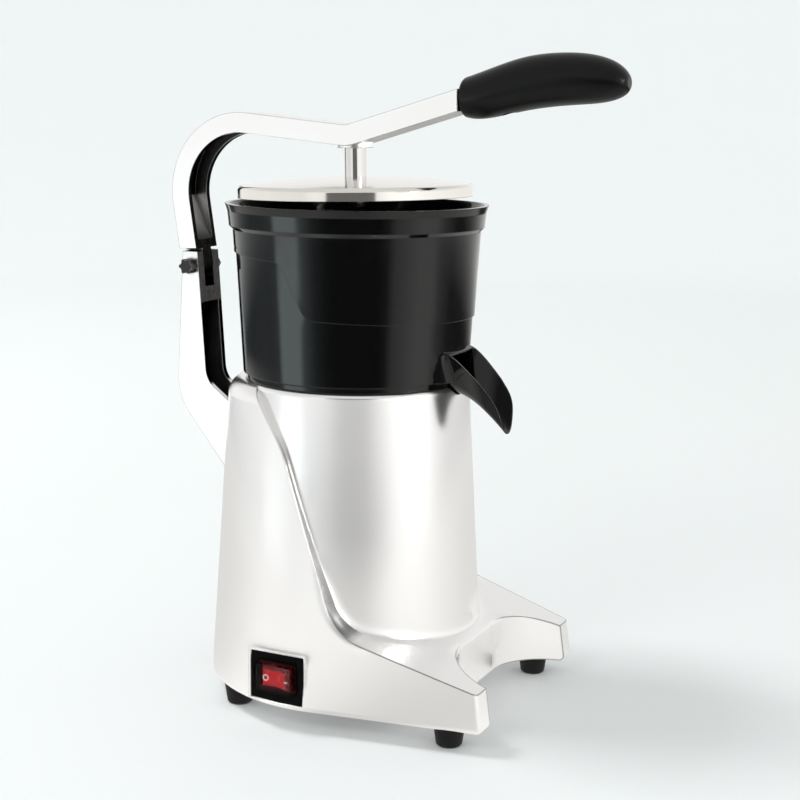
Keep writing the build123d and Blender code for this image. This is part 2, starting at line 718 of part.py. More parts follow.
def flare_outline(side, rise):
    """Plan of the hollow flare beside the spout's root, at a share of the root's height."""
    wall = bowl_r(BOWL_BOTTOM + SPOUT_ROOT_TOP * rise) - BOWL_STEP
    half = SPOUT_ROOT_X * (0.64 + 0.36 * rise)
    run = SPOUT_FLARE * sqrt(1 - rise**2)
    root = (side * half, -sqrt(wall**2 - half**2))
    start = (root[0], root[1] - run / 2)
    end = (side * (half + run), -sqrt(wall**2 - (half + run) ** 2))
    inner = (side * (half - SPOUT_WALL), end[1] + BOWL_WALL)
    with BuildLine() as outline:
        Bezier(start, root, end)
        Polyline(end, (end[0], inner[1]), inner, (inner[0], start[1]), start)
    make_face(outline.edges())


with BuildPart() as juice_bowl:
    with BuildSketch(SIDE) as wall_side:
        with BuildLine():
            Polyline(
                (0, BOWL_BOTTOM),
                (BOWL_BOTTOM_R, BOWL_BOTTOM),
                (bowl_r(BAND_LOW), BAND_LOW),
                (bowl_r(BAND_LOW) + RIM_BAND_OUT, BAND_LOW + RIM_BAND_OUT),
                (bowl_r(RIM_TOP) + RIM_BAND_OUT, RIM_TOP - RIM_FLARE_H),
                (RIM_R, RIM_TOP),
                (0, RIM_TOP),
                close=True,
            )
        make_face()
        fillet(wall_side.vertices().sort_by(Axis.Y)[:2].sort_by(Axis.X)[-1], BOWL_EDGE_R)
    revolve(axis=BOWL_AXIS)
    add(bowl_relief.part, mode=Mode.SUBTRACT)
    with BuildSketch(level(BODY_TOP)):
        Circle(BOWL_FOOT_R)
        Circle(BOWL_FOOT_R - BOWL_FOOT_W, mode=Mode.SUBTRACT)
    extrude(amount=BOWL_FOOT_H)
    for share in (-SPOUT_SUMP / SPOUT_REACH, 0, 0.3, 0.6, 0.85, 1.1):
        with BuildSketch(spout_plane(share)):
            spout_outline(share, 0, 0)
    loft()
    for side in (-1, 1):
        for rise in (0, 0.4, 0.7, 0.9, 0.98):
            with BuildSketch(level(BOWL_BOTTOM + SPOUT_ROOT_TOP * rise)):
                flare_outline(side, rise)
        loft()
    # The spout's lip falls off in a curve, ever more steeply towards the tip
    with BuildSketch(SIDE):
        with BuildLine():
            lip = [spout_lip(*shares) for shares in SPOUT_LIP]
            Spline(*lip)
            Polyline(
                lip[-1],
                (lip[-1][0], lip[-1][1] - SPOUT_REACH),
                (lip[-1][0] - SPOUT_REACH, lip[-1][1] - SPOUT_REACH),
                (lip[-1][0] - SPOUT_REACH, lip[0][1]),
                lip[0],
            )
        make_face()
    extrude(amount=SPOUT_ROOT_X, both=True, mode=Mode.SUBTRACT)
    with BuildSketch(SIDE) as hollow_side:
        with BuildLine():
            Polyline(
                (0, BOWL_FLOOR),
                (bowl_in(BOWL_FLOOR), BOWL_FLOOR),
                (bowl_in(BAND_LOW), BAND_LOW),
                (RIM_R - BOWL_WALL, RIM_TOP),
                (0, RIM_TOP),
                close=True,
            )
        make_face()
        fillet(hollow_side.vertices().sort_by(Axis.Y)[:2].sort_by(Axis.X)[-1], BOWL_CORNER_R)
    revolve(axis=BOWL_AXIS, mode=Mode.SUBTRACT)
    # Port through the bowl's wall, and the open channel in front of it
    with BuildSketch(spout_plane((SPOUT_WALL - SPOUT_SUMP) / SPOUT_REACH)):
        spout_outline(0, SPOUT_WALL, -SPOUT_WALL)
    extrude(amount=SPOUT_SUMP - SPOUT_WALL + SPOUT_REACH * SPOUT_PORT, mode=Mode.SUBTRACT)
    for share in (SPOUT_PORT, 0.3, 0.6, 0.85, 1.2):
        with BuildSketch(spout_plane(share)):
            spout_outline(share, SPOUT_WALL, SPOUT_WALL)
    loft(mode=Mode.SUBTRACT)
    with BuildSketch(level(BOWL_BOTTOM)):
        Circle(BOSS_R + BOWL_TUBE_GAP + BOWL_WALL)
    extrude(amount=BOWL_FLOOR_T + BOWL_TUBE_H)
    with BuildSketch(level(BOWL_BOTTOM)):
        Circle(BOSS_R + BOWL_TUBE_GAP)
    extrude(amount=BOWL_FLOOR_T + BOWL_TUBE_H, mode=Mode.SUBTRACT)
save(juice_bowl, "juice_bowl")

# Strainer: a slotted disc on a sleeve that stands round the bowl's tube
STRAINER_HUB_R = BOSS_R + BOWL_TUBE_GAP + BOWL_WALL + SEAT_GAP
STRAINER_Z = BOWL_FLOOR + STRAINER_RISE
STRAINER_R = bowl_in(STRAINER_Z) - 1
with BuildPart() as strainer:
    with BuildSketch(SIDE):
        with BuildLine():
            Polyline(
                (STRAINER_HUB_R, BOWL_FLOOR),
                (STRAINER_HUB_R + STRAINER_HUB_T, BOWL_FLOOR),
                (STRAINER_HUB_R + STRAINER_HUB_T, STRAINER_Z),
                (STRAINER_R, STRAINER_Z),
                (STRAINER_R, STRAINER_Z + STRAINER_RIM_H),
                (STRAINER_R - STRAINER_T, STRAINER_Z + STRAINER_RIM_H),
                (STRAINER_R - STRAINER_T, STRAINER_Z + STRAINER_T),
                (STRAINER_HUB_R, STRAINER_Z + STRAINER_T),
                close=True,
            )
        make_face()
    revolve(axis=BOWL_AXIS)
    with BuildSketch(level(STRAINER_Z)):
        with PolarLocations((STRAINER_HUB_R + STRAINER_R) / 2, STRAINER_SLOTS):
            SlotOverall(STRAINER_SLOT_L, STRAINER_SLOT_W)
    extrude(amount=STRAINER_T, mode=Mode.SUBTRACT)
save(strainer, "strainer")

# Reamer: a ribbed ogive with a hexagonal socket
REAMER_LOW = BOWL_FLOOR + BOWL_TUBE_H + REAMER_CLEAR
REAMER_TIP = REAMER_LOW + REAMER_H
with BuildPart() as reamer:
    with BuildSketch(SIDE):
        with BuildLine():
            Line((0, REAMER_LOW), (REAMER_R, REAMER_LOW))
            ThreePointArc(
                (REAMER_R, REAMER_LOW), (0.74 * REAMER_R, REAMER_LOW + 0.58 * REAMER_H), (0, REAMER_TIP)
            )
            Line((0, REAMER_TIP), (0, REAMER_LOW))
        make_face()
    revolve(axis=BOWL_AXIS)
    with BuildSketch(SIDE):
        with BuildLine():
            Line((0, REAMER_LOW), (REAMER_R + REAMER_RIB_OUT, REAMER_LOW))
            ThreePointArc(
                (REAMER_R + REAMER_RIB_OUT, REAMER_LOW),
                (0.74 * REAMER_R + REAMER_RIB_OUT, REAMER_LOW + 0.58 * REAMER_H + REAMER_RIB_OUT / 2),
                (0, REAMER_TIP + REAMER_RIB_OUT / 2),
            )
            Line((0, REAMER_TIP + REAMER_RIB_OUT / 2), (0, REAMER_LOW))
        make_face()
    rib = extrude(amount=REAMER_RIB_T / 2, both=True)
    for i in range(1, REAMER_RIBS):
        add(rib.rotate(BOWL_AXIS, 360 * i / REAMER_RIBS))
    with BuildSketch(level(REAMER_LOW)):
        RegularPolygon(HUB_ACROSS / 2 + PRESS_GAP, 6, major_radius=False)
    extrude(amount=HUB_H + SEAT_GAP, mode=Mode.SUBTRACT)
save(reamer, "reamer")

# Drive hub on the end of the motor shaft
with BuildPart() as drive_hub:
    with BuildSketch(level(REAMER_LOW)):
        RegularPolygon(HUB_ACROSS / 2, 6, major_radius=False)
        Circle(SPINDLE_R + PRESS_GAP, mode=Mode.SUBTRACT)
    extrude(amount=HUB_H)
save(drive_hub, "drive_hub")

# Motor, hung from the pillars under the deck
TOP_PLATE = DECK_LOW - BRACKET_DROP
BELL_H = WINDING_H + SEAT_GAP + WINDING_ROOM
STATOR_TOP = TOP_PLATE - BRACKET_T - BELL_H
SHAFT_LOW = PLATE_TOP + 2 * (CAPACITOR_R + SEAT_GAP) + CLIP_SHEET + MOTOR_CLEAR
FAN_TOP = SHAFT_LOW + FAN_H + 1
BOTTOM_PLATE = FAN_TOP + FAN_GAP
STATOR_LOW = BOTTOM_PLATE + BRACKET_T + BELL_H
STATOR_H = STATOR_TOP - STATOR_LOW
SHAFT_STEP = DECK_TOP + BOSS_H - 2 * SEAL_H

with BuildPart() as motor_shaft:
    with BuildSketch(level(SHAFT_LOW)):
        Circle(SHAFT_R)
    extrude(amount=SHAFT_STEP - SHAFT_LOW)
    with BuildSketch(level(SHAFT_STEP)):
        Circle(SPINDLE_R)
    extrude(amount=REAMER_LOW + HUB_H - SHAFT_STEP)
save(motor_shaft, "motor_shaft")

with BuildPart() as rotor:
    with BuildSketch(level(STATOR_LOW)):
        Circle(STATOR_BORE_R - AIR_GAP)
        Circle(SHAFT_R + PRESS_GAP, mode=Mode.SUBTRACT)
    extrude(amount=STATOR_H)
    for ring_low in (STATOR_LOW - ROTOR_RING_H, STATOR_TOP):
        with BuildSketch(level(ring_low)):
            Circle(STATOR_BORE_R - AIR_GAP - 1)
            Circle(STATOR_BORE_R / 2, mode=Mode.SUBTRACT)
        extrude(amount=ROTOR_RING_H)
save(rotor, "rotor")

with BuildPart() as motor_stator:
    with BuildSketch(level(STATOR_LOW)):
        RectangleRounded(STATOR_W, STATOR_W, STATOR_CORNER_R)
        Circle(STATOR_BORE_R, mode=Mode.SUBTRACT)
        with PolarLocations(WINDING_R, STATOR_SLOTS):
            Circle(SLOT_R, mode=Mode.SUBTRACT)
        with GridLocations(2 * MOTOR_BOLT_X, 2 * MOTOR_BOLT_X, 2, 2):
            Circle(MOTOR_BOLT_R + SEAT_GAP, mode=Mode.SUBTRACT)
    extrude(amount=STATOR_H)
save(motor_stator, "motor_stator")

with BuildPart() as stator_windings:
    for ring_low in (STATOR_LOW - WINDING_H, STATOR_TOP + SEAT_GAP):
        with BuildSketch(level(ring_low)):
            Circle(WINDING_R + WINDING_W / 2)
            Circle(WINDING_R - WINDING_W / 2, mode=Mode.SUBTRACT)
        extrude(amount=WINDING_H - SEAT_GAP)
    with BuildSketch(level(STATOR_LOW - WINDING_H)):
        with PolarLocations(WINDING_R, STATOR_SLOTS):
            Circle(SLOT_R - SEAT_GAP)
    extrude(amount=STATOR_H + 2 * WINDING_H)
save(stator_windings, "stator_windings")


def bracket(plate_low, skirt_low, pocket_low, lip_low, name):
    """End bracket of the motor: a square plate with a bell skirt and a bearing pocket."""
    with BuildPart() as end:
        with BuildSketch(level(plate_low)):
            RectangleRounded(STATOR_W, STATOR_W, STATOR_CORNER_R)
        extrude(amount=BRACKET_T)
        with BuildSketch(level(skirt_low)):
            RectangleRounded(STATOR_W, STATOR_W, STATOR_CORNER_R)
            Circle(BELL_BORE_R, mode=Mode.SUBTRACT)
        extrude(amount=BELL_H)
        with BuildSketch(level(pocket_low)):
            Circle(BEARING_R + BELL_WALL)
        extrude(amount=BEARING_H)
        with BuildSketch(level(pocket_low)):
            Circle(BEARING_R + PRESS_GAP)
        extrude(amount=BEARING_H, mode=Mode.SUBTRACT)
        with BuildSketch(level(lip_low)):
            Circle(BEARING_R - BELL_WALL)
        extrude(amount=BEARING_LIP, mode=Mode.SUBTRACT)
        with BuildSketch(level(min(plate_low, skirt_low))):
            with GridLocations(2 * MOTOR_BOLT_X, 2 * MOTOR_BOLT_X, 2, 2):
                Circle(MOTOR_BOLT_R + SEAT_GAP)
        extrude(amount=BRACKET_T + BELL_H, mode=Mode.SUBTRACT)
    save(end, name)


def bearing(low, name):
    """Ball bearing as one closed ring that runs on the shaft."""
    with BuildPart() as ring:
        with BuildSketch(level(low)):
            Circle(BEARING_R)
            Circle(SHAFT_R + RUN_GAP, mode=Mode.SUBTRACT)
        extrude(amount=BEARING_H)
    save(ring, name)


upper_bearing_low = TOP_PLATE - BEARING_LIP - BEARING_H
lower_bearing_low = BOTTOM_PLATE + BEARING_LIP
bracket(TOP_PLATE - BRACKET_T, STATOR_TOP, upper_bearing_low, TOP_PLATE - BEARING_LIP, "motor_top_bracket")
bracket(BOTTOM_PLATE, BOTTOM_PLATE + BRACKET_T, lower_bearing_low, BOTTOM_PLATE, "motor_bottom_bracket")
bearing(upper_bearing_low, "upper_bearing")
bearing(lower_bearing_low, "lower_bearing")

screws(
    [
        Plane((x, AXIS_Y + y, BOTTOM_PLATE))
        for x in (-MOTOR_BOLT_X, MOTOR_BOLT_X)
        for y in (-MOTOR_BOLT_X, MOTOR_BOLT_X)
    ],
    "motor_bolts",
    TOP_PLATE + MOTOR_BOLT_GRIP - BOTTOM_PLATE,
    head_r=MOTOR_BOLT_R * 1.7,
    radius=MOTOR_BOLT_R,
)

with BuildPart() as cooling_fan:
    with BuildSketch(level(FAN_TOP - FAN_H)):
        Circle(FAN_HUB_R)
    extrude(amount=FAN_H)
    with BuildSketch(level(FAN_TOP - FAN_BLADE_T)):
        Circle(FAN_R)
    extrude(amount=FAN_BLADE_T)
    with BuildSketch(level(FAN_TOP - FAN_H)):
        with PolarLocations(FAN_R / 2, FAN_BLADES):
            Rectangle(FAN_R - 2, FAN_BLADE_T)
    extrude(amount=FAN_H)
    with BuildSketch(level(FAN_TOP - FAN_H)):
        Circle(SHAFT_R + PRESS_GAP)
    extrude(amount=FAN_H, mode=Mode.SUBTRACT)
save(cooling_fan, "cooling_fan")

with BuildPart() as shaft_seal:
    with BuildSketch(level(DECK_TOP + BOSS_H - SEAL_H)):
        Circle(SEAL_R - PRESS_GAP)
        Circle(SPINDLE_R + RUN_GAP, mode=Mode.SUBTRACT)
    extrude(amount=SEAL_H)
save(shaft_seal, "shaft_seal")

# Base plate with its vents, and the parts that stand on it
with BuildPart() as base_plate:
    with BuildSketch(level(FOOT_H)):
        room_outline(SEAT_GAP)
        with Locations(*PLATE_BOSSES):
            Circle(SCREW_R + SEAT_GAP, mode=Mode.SUBTRACT)
        with GridLocations(2.5 * VENT_W, 0, VENTS, 1):
            SlotOverall(VENT_L, VENT_W, rotation=90, mode=Mode.SUBTRACT)
    extrude(amount=PLATE_T)
save(base_plate, "base_plate")

screws(
    [Plane((x, AXIS_Y + y, FOOT_H)) for x, y in PLATE_BOSSES[:2]],
    "base_plate_screws",
    PLATE_T + SCREW_GRIP,
)

for foot_name, (x, y) in FEET.items():
    with BuildPart() as foot:
        foot_axis = Axis((x, AXIS_Y + y, 0), (0, 0, 1))
        with BuildSketch(Plane(origin=(x, AXIS_Y + y, 0), x_dir=(1, 0, 0), z_dir=(0, -1, 0))):
            with BuildLine():
                Polyline(
                    (SCREW_R + SEAT_GAP, FOOT_H),
                    (SCREW_R + SEAT_GAP, FOOT_SINK),
                    (SCREW_HEAD_R + 2 * SEAT_GAP, FOOT_SINK),
                    (SCREW_HEAD_R + 2 * SEAT_GAP, 0),
                    (FOOT_TIP_R - 1, 0),
                    (FOOT_TIP_R, 1),
                    (FOOT_TOP_R, FOOT_H),
                    close=True,
                )
            make_face()
        revolve(axis=foot_axis)
    save(foot, foot_name)

screws(
    [Plane((x, AXIS_Y + y, FOOT_SINK)) for x, y in FEET.values()],
    "foot_screws",
    FOOT_H + SCREW_GRIP - FOOT_SINK,
)

CAPACITOR_Z = PLATE_TOP + CAPACITOR_R + SEAT_GAP
CAPACITOR_END = Plane(origin=(0, AXIS_Y + CAPACITOR_BACK, CAPACITOR_Z), x_dir=(0, 1, 0), z_dir=(1, 0, 0))
with BuildPart() as run_capacitor:
    with BuildSketch(CAPACITOR_END):
        Circle(CAPACITOR_R)
    extrude(amount=CAPACITOR_L / 2, both=True)
save(run_capacitor, "run_capacitor")

with BuildPart() as capacitor_clip:
    clip_r = CAPACITOR_R + SEAT_GAP
    with BuildSketch(CAPACITOR_END):
        Circle(clip_r + CLIP_SHEET)
        with Locations((0, -clip_r)):
            Rectangle(2 * (clip_r + CLIP_SHEET), clip_r, align=(Align.CENTER, Align.MIN))
            Rectangle(2 * (clip_r + CLIP_TAB), CLIP_SHEET, align=(Align.CENTER, Align.MIN))
        Circle(clip_r, mode=Mode.SUBTRACT)
        with Locations((0, -clip_r - CLIP_SHEET)):
            Rectangle(2 * clip_r, clip_r + CLIP_SHEET, align=(Align.CENTER, Align.MIN), mode=Mode.SUBTRACT)
            Rectangle(4 * clip_r, CLIP_SHEET, align=(Align.CENTER, Align.MIN), mode=Mode.SUBTRACT)
    extrude(amount=CLIP_W / 2, both=True)
save(capacitor_clip, "capacitor_clip")

with BuildPart() as terminal_block:
    with BuildSketch(level(PLATE_TOP)):
        with Locations((0, -TERMINAL_REACH)):
            Rectangle(TERMINAL_W, TERMINAL_D)
    extrude(amount=TERMINAL_H)
    with BuildSketch(level(PLATE_TOP + TERMINAL_H)):
        with Locations((0, -TERMINAL_REACH)):
            with GridLocations(TERMINAL_W / 4, 0, 4, 1):
                Circle(SCREW_R)
    extrude(amount=-TERMINAL_H / 2, mode=Mode.SUBTRACT)
save(terminal_block, "terminal_block")

# Cord gland, through the back of the body, and its nut inside
NUT_FACE = COWL_FOOT_BACK + sqrt(BASE_ROOM_R**2 - (GLAND_NUT_R + 1) ** 2)
NUT_PLANE = GLAND_FACE.offset(NUT_FACE - COWL_FOOT_R - COWL_FOOT_BACK + GLAND_SINK)
with BuildPart() as cord_gland:
    with BuildSketch(GLAND_FACE):
        Circle(GLAND_FLANGE_R)
    extrude(amount=GLAND_FLANGE_H, taper=20)
    with BuildSketch(NUT_PLANE.offset(-GLAND_NUT_H - 1)):
        Circle(GLAND_R)
    extrude(amount=GLAND_FACE.origin.Y - NUT_PLANE.origin.Y + GLAND_NUT_H + 1)
    with BuildSketch(NUT_PLANE.offset(-GLAND_NUT_H - 1)):
        Circle(GLAND_BORE_R)
    extrude(amount=2 * COWL_FOOT_R, mode=Mode.SUBTRACT)
save(cord_gland, "cord_gland")

with BuildPart() as gland_nut:
    with BuildSketch(NUT_PLANE):
        RegularPolygon(GLAND_NUT_R, 6)
        Circle(GLAND_R + PRESS_GAP, mode=Mode.SUBTRACT)
    extrude(amount=-GLAND_NUT_H)
save(gland_nut, "gland_nut")

# Switch: housing with its flange, rocker, and a clear cap over the rocker
FLANGE_FACE = SWITCH_FACE.offset(-SWITCH_SINK)
ROCKER_SWING = hypot(ROCKER_W / 2, ROCKER_PIVOT + ROCKER_W / 2 * tan(radians(2 * ROCKER_TILT)))
with BuildPart() as switch_housing:
    with BuildSketch(FLANGE_FACE):
        Rectangle(SWITCH_W, SWITCH_H)
    extrude(amount=-FLANGE_T)
    with BuildSketch(FLANGE_FACE.offset(-FLANGE_T)):
        Rectangle(HOUSING_W, HOUSING_H)
    extrude(amount=-HOUSING_DEPTH)
    with BuildSketch(FLANGE_FACE):
        Rectangle(2 * ROCKER_SWING, ROCKER_H + 2 * SEAT_GAP)
    extrude(amount=-ROCKER_DEPTH - 3, mode=Mode.SUBTRACT)
save(switch_housing, "switch_housing")

ROCKER_LOW = Plane(
    origin=FLANGE_FACE.origin - Vector(0, 0, ROCKER_H / 2), x_dir=(0, 1, 0), z_dir=(0, 0, 1)
)
with BuildPart() as rocker:
    with BuildSketch(ROCKER_LOW):
        with BuildLine():
            Polyline(
                (-ROCKER_W / 2, ROCKER_W / 2 * tan(radians(2 * ROCKER_TILT))),
                (0, 0),
                (ROCKER_W / 2, 0),
                (ROCKER_W / 2 - 1, -ROCKER_DEPTH),
                (1 - ROCKER_W / 2, -ROCKER_DEPTH),
                close=True,
            )
        make_face()
    extrude(amount=ROCKER_H)
save(rocker, "rocker")

with BuildPart() as switch_cap:
    with BuildSketch(FLANGE_FACE):
        RectangleRounded(CAP_W, CAP_H, 2 * CAP_T)
    extrude(amount=CAP_OUT, taper=6)
    with BuildSketch(FLANGE_FACE):
        RectangleRounded(CAP_W - 2 * CAP_T, CAP_H - 2 * CAP_T, CAP_T)
    extrude(amount=CAP_OUT - CAP_T, taper=6, mode=Mode.SUBTRACT)
save(switch_cap, "switch_cap")

# Lever: its side plane is turned about the hinge, so that the press stands a little open
LIFT = radians(REST_LIFT)
LEVER_BACK = Vector(0, cos(LIFT), -sin(LIFT))
LEVER_UP = Vector(0, sin(LIFT), cos(LIFT))
LEVER_SIDE = Plane(
    origin=Vector(0, AXIS_Y + PIVOT_REACH, PIVOT_Z) - LEVER_BACK * PIVOT_REACH - LEVER_UP * PIVOT_Z,
    x_dir=LEVER_BACK,
    z_dir=(1, 0, 0),
)
STEM_AXIS = Axis(LEVER_SIDE.origin, LEVER_UP)


def across_stem(z):
    """Sketch plane square to the presser's stem at height z of the closed lever."""
    return Plane(origin=LEVER_SIDE.origin + LEVER_UP * z, x_dir=(1, 0, 0), z_dir=LEVER_UP)


def across_grip(y, z):
    """Sketch plane square to the lever at a side point, looking to the front."""
    place = LEVER_SIDE.origin + LEVER_BACK * y + LEVER_UP * z
    return Plane(origin=place, x_dir=(1, 0, 0), z_dir=LEVER_BACK * -1)


# Middle line of the arm: up the leg, over the elbow, down to the kink, up to the grip
SHOULDER_Z = EAR_Z + SHOULDER_GAP
LEG_Y = PIVOT_REACH + LEG_BACK
lean = tan(radians(LEG_LEAN))
fall = tan(radians(ARM_FALL))
rise = tan(radians(ARM_RISE))
ELBOW_Y = (LEG_Y + (KINK_Z - SHOULDER_Z) * lean) / (1 - lean * fall)
GRIP_ROOT_Z = KINK_Z + GRIP_ROOT * rise
ARM_LINE = [
    (LEG_Y, SHOULDER_Z),
    (ELBOW_Y, KINK_Z + ELBOW_Y * fall),
    (0, KINK_Z),
    (-GRIP_ROOT, GRIP_ROOT_Z),
]
STEM_TOP = KINK_Z - ARM_T / 2 - STEM_BOSS_H
TANG_LINE = [(-GRIP_ROOT + 2, GRIP_ROOT_Z - 2 * rise), (-GRIP_ROOT - TANG_L, GRIP_ROOT_Z + TANG_L * rise)]
GRIP_SCREW_Y = -GRIP_ROOT - GRIP_SCREW_AT
GRIP_SCREW_Z = GRIP_ROOT_Z + GRIP_SCREW_AT * rise - TANG_H / 2 - GRIP_SCREW_SINK

with BuildPart() as lever_arm:
    outer = miter(ARM_LINE, -ARM_T / 2)
    inner = miter(ARM_LINE, ARM_T / 2)
    outer[0] = at_height(outer[0], outer[1], SHOULDER_Z)
    inner[0] = at_height(inner[0], inner[1], SHOULDER_Z)
    outer[3] = on_line(outer[2], outer[3], -GRIP_ROOT)
    inner[3] = on_line(inner[2], inner[3], -GRIP_ROOT)
    with BuildSketch(LEVER_SIDE):
        with BuildLine():
            FilletPolyline(*outer, radius=[ARM_BEND_R + ARM_T / 2, KINK_R - ARM_T / 2])
            Line(outer[3], inner[3])
            FilletPolyline(*reversed(inner), radius=[KINK_R + ARM_T / 2, ARM_BEND_R - ARM_T / 2])
            Line(inner[0], outer[0])
        make_face()
    extrude(amount=LEVER_W / 2, both=True)
    # Channel along the inside of the leg and the elbow
    web = miter(ARM_LINE, ARM_WEB - ARM_T / 2)
    clear = miter(ARM_LINE, ARM_T)
    start_web = at_height(web[0], web[1], SHOULDER_Z + CHANNEL_START)
    start_clear = at_height(clear[0], clear[1], SHOULDER_Z + CHANNEL_START)
    end_web = on_line(web[1], web[2], CHANNEL_END)
    end_clear = on_line(clear[1], clear[2], CHANNEL_END)
    with BuildSketch(LEVER_SIDE):
        with BuildLine():
            FilletPolyline(start_web, web[1], end_web, radius=ARM_BEND_R + ARM_T / 2 - ARM_WEB)
            Line(end_web, end_clear)
            FilletPolyline(end_clear, clear[1], start_clear, radius=ARM_BEND_R - ARM_T)
            Line(start_clear, start_web)
        make_face()
    extrude(amount=LEVER_W / 2 - POST_WALL, both=True, mode=Mode.SUBTRACT)
    # Ramp at the channel's lower end
    heart = miter(ARM_LINE, (ARM_WEB - ARM_T) / 2)
    with BuildSketch(LEVER_SIDE):
        with BuildLine():
            Polyline(
                at_height(inner[0], inner[1], SHOULDER_Z + CHANNEL_START),
                at_height(heart[0], heart[1], SHOULDER_Z + CHANNEL_START),
                at_height(heart[0], heart[1], SHOULDER_Z + CHANNEL_FULL),
                close=True,
            )
        make_face()
    extrude(amount=LEVER_W / 2 - POST_WALL, both=True)
    # Tongue with the bush's bore
    with BuildSketch(LEVER_SIDE):
        with Locations((PIVOT_REACH, PIVOT_Z)):
            Circle(TONGUE_R)
        with BuildLine():
            Polyline(
                (PIVOT_REACH - TONGUE_R, PIVOT_Z),
                (PIVOT_REACH + TONGUE_R, PIVOT_Z),
                (outer[0][0], SHOULDER_Z),
                (outer[0][0], SHOULDER_Z + 1),
                (inner[0][0], SHOULDER_Z + 1),
                (inner[0][0], SHOULDER_Z),
                close=True,
            )
        make_face()
    extrude(amount=TONGUE_T / 2, both=True)
    with BuildSketch(LEVER_SIDE):
        with Locations((PIVOT_REACH, PIVOT_Z)):
            Circle(BUSH_R + PRESS_GAP)
    extrude(amount=LEVER_W, both=True, mode=Mode.SUBTRACT)
    # Boss and hole for the stem
    with BuildSketch(across_stem(STEM_TOP)):
        Circle(STEM_BOSS_R)
    extrude(amount=ARM_T / 2)
    with BuildSketch(across_stem(STEM_TOP)):
        Circle(STEM_STUD_R + PRESS_GAP)
    extrude(amount=STUD_L + SEAT_GAP, mode=Mode.SUBTRACT)
    # Tang inside the grip
    tang_high = miter(TANG_LINE, -TANG_H / 2)
    tang_low = miter(TANG_LINE, TANG_H / 2)
    with BuildSketch(LEVER_SIDE):
        with BuildLine():
            Polyline(*tang_high, *reversed(tang_low), close=True)
        make_face()
    extrude(amount=TANG_W / 2, both=True)
    with BuildSketch(across_stem(GRIP_SCREW_Z)):
        with Locations((0, GRIP_SCREW_Y)):
            Circle(SCREW_R + PRESS_GAP)
    extrude(amount=GRIP_SCREW_SINK + TANG_H, mode=Mode.SUBTRACT)
save(lever_arm, "lever_arm")

with BuildPart() as pivot_bush:
    with BuildSketch(LEVER_SIDE):
        with Locations((PIVOT_REACH, PIVOT_Z)):
            Circle(BUSH_R)
            Circle(PIVOT_R + RUN_GAP, mode=Mode.SUBTRACT)
    extrude(amount=TONGUE_T / 2, both=True)
save(pivot_bush, "pivot_bush")

# Hinge bolt with a lobed head, and its nut
HINGE_SIDE = Plane(
    origin=(-LEVER_W / 2, AXIS_Y + PIVOT_REACH, PIVOT_Z), x_dir=(0, 1, 0), z_dir=(1, 0, 0)
)
with BuildPart() as pivot_bolt:
    with BuildSketch(HINGE_SIDE):
        Circle(PIVOT_HEAD_R - 1)
        with PolarLocations(PIVOT_HEAD_R - 1.2, 6):
            Circle(1.2)
    extrude(amount=-PIVOT_HEAD_H)
    with BuildSketch(HINGE_SIDE):
        Circle(PIVOT_R)
    extrude(amount=LEVER_W + PIVOT_NUT_H + 1)
save(pivot_bolt, "pivot_bolt")

with BuildPart() as pivot_nut:
    with BuildSketch(HINGE_SIDE.offset(LEVER_W)):
        RegularPolygon(PIVOT_HEAD_R, 6)
        Circle(PIVOT_R + PRESS_GAP, mode=Mode.SUBTRACT)
    extrude(amount=PIVOT_NUT_H)
save(pivot_nut, "pivot_nut")

# Grip on the arm's tang, held by a screw from below
with BuildPart() as lever_grip:
    for share, rise_share, height_share, width_share in GRIP_SECTIONS:
        with BuildSketch(across_grip(-GRIP_ROOT - share * GRIP_L, GRIP_ROOT_Z + rise_share * GRIP_H)):
            Ellipse(GRIP_W / 2 * width_share, GRIP_H / 2 * height_share)
    loft()
    fillet(lever_grip.edges().sort_by(Axis.Y)[-1], GRIP_ROOT_R)
    socket_high = miter(TANG_LINE, -TANG_H / 2 - SEAT_GAP)
    socket_low = miter(TANG_LINE, TANG_H / 2 + SEAT_GAP)
    socket_end = [on_line(*chain, -GRIP_ROOT - TANG_L - 2) for chain in (socket_high, socket_low)]
    with BuildSketch(LEVER_SIDE):
        with BuildLine():
            Polyline(socket_high[0], *socket_end, socket_low[0], close=True)
        make_face()
    extrude(amount=TANG_W / 2 + SEAT_GAP, both=True, mode=Mode.SUBTRACT)
    with BuildSketch(across_stem(GRIP_SCREW_Z)):
        with Locations((0, GRIP_SCREW_Y)):
            Circle(SCREW_R + SEAT_GAP)
    extrude(amount=GRIP_SCREW_SINK + TANG_H / 2, mode=Mode.SUBTRACT)
    with BuildSketch(across_stem(GRIP_SCREW_Z)):
        with Locations((0, GRIP_SCREW_Y)):
            Circle(SCREW_HEAD_R + SEAT_GAP)
    extrude(amount=-GRIP_H, mode=Mode.SUBTRACT)
save(lever_grip, "lever_grip")

grip_screw_place = across_stem(GRIP_SCREW_Z)
grip_screw_place.origin = grip_screw_place.origin + LEVER_BACK * GRIP_SCREW_Y
screws([grip_screw_place], "grip_screw", GRIP_SCREW_SINK + TANG_H / 2)

# Presser: stem, lid over the bowl, and the cup that holds the fruit down
LID_LOW = RIM_TOP + LID_GAP
LID_EDGE = LID_LOW + LID_SKIRT_H
CUP_IN = REAMER_TIP + CUP_CLEAR
CUP_TOP = CUP_IN + CUP_TOP_T
CUP_LOW = CUP_TOP - CUP_H


def dome(r):
    """Height of the lid's outside at radius r."""
    return LID_EDGE + LID_CROWN * (1 - (r / LID_R) ** 2)


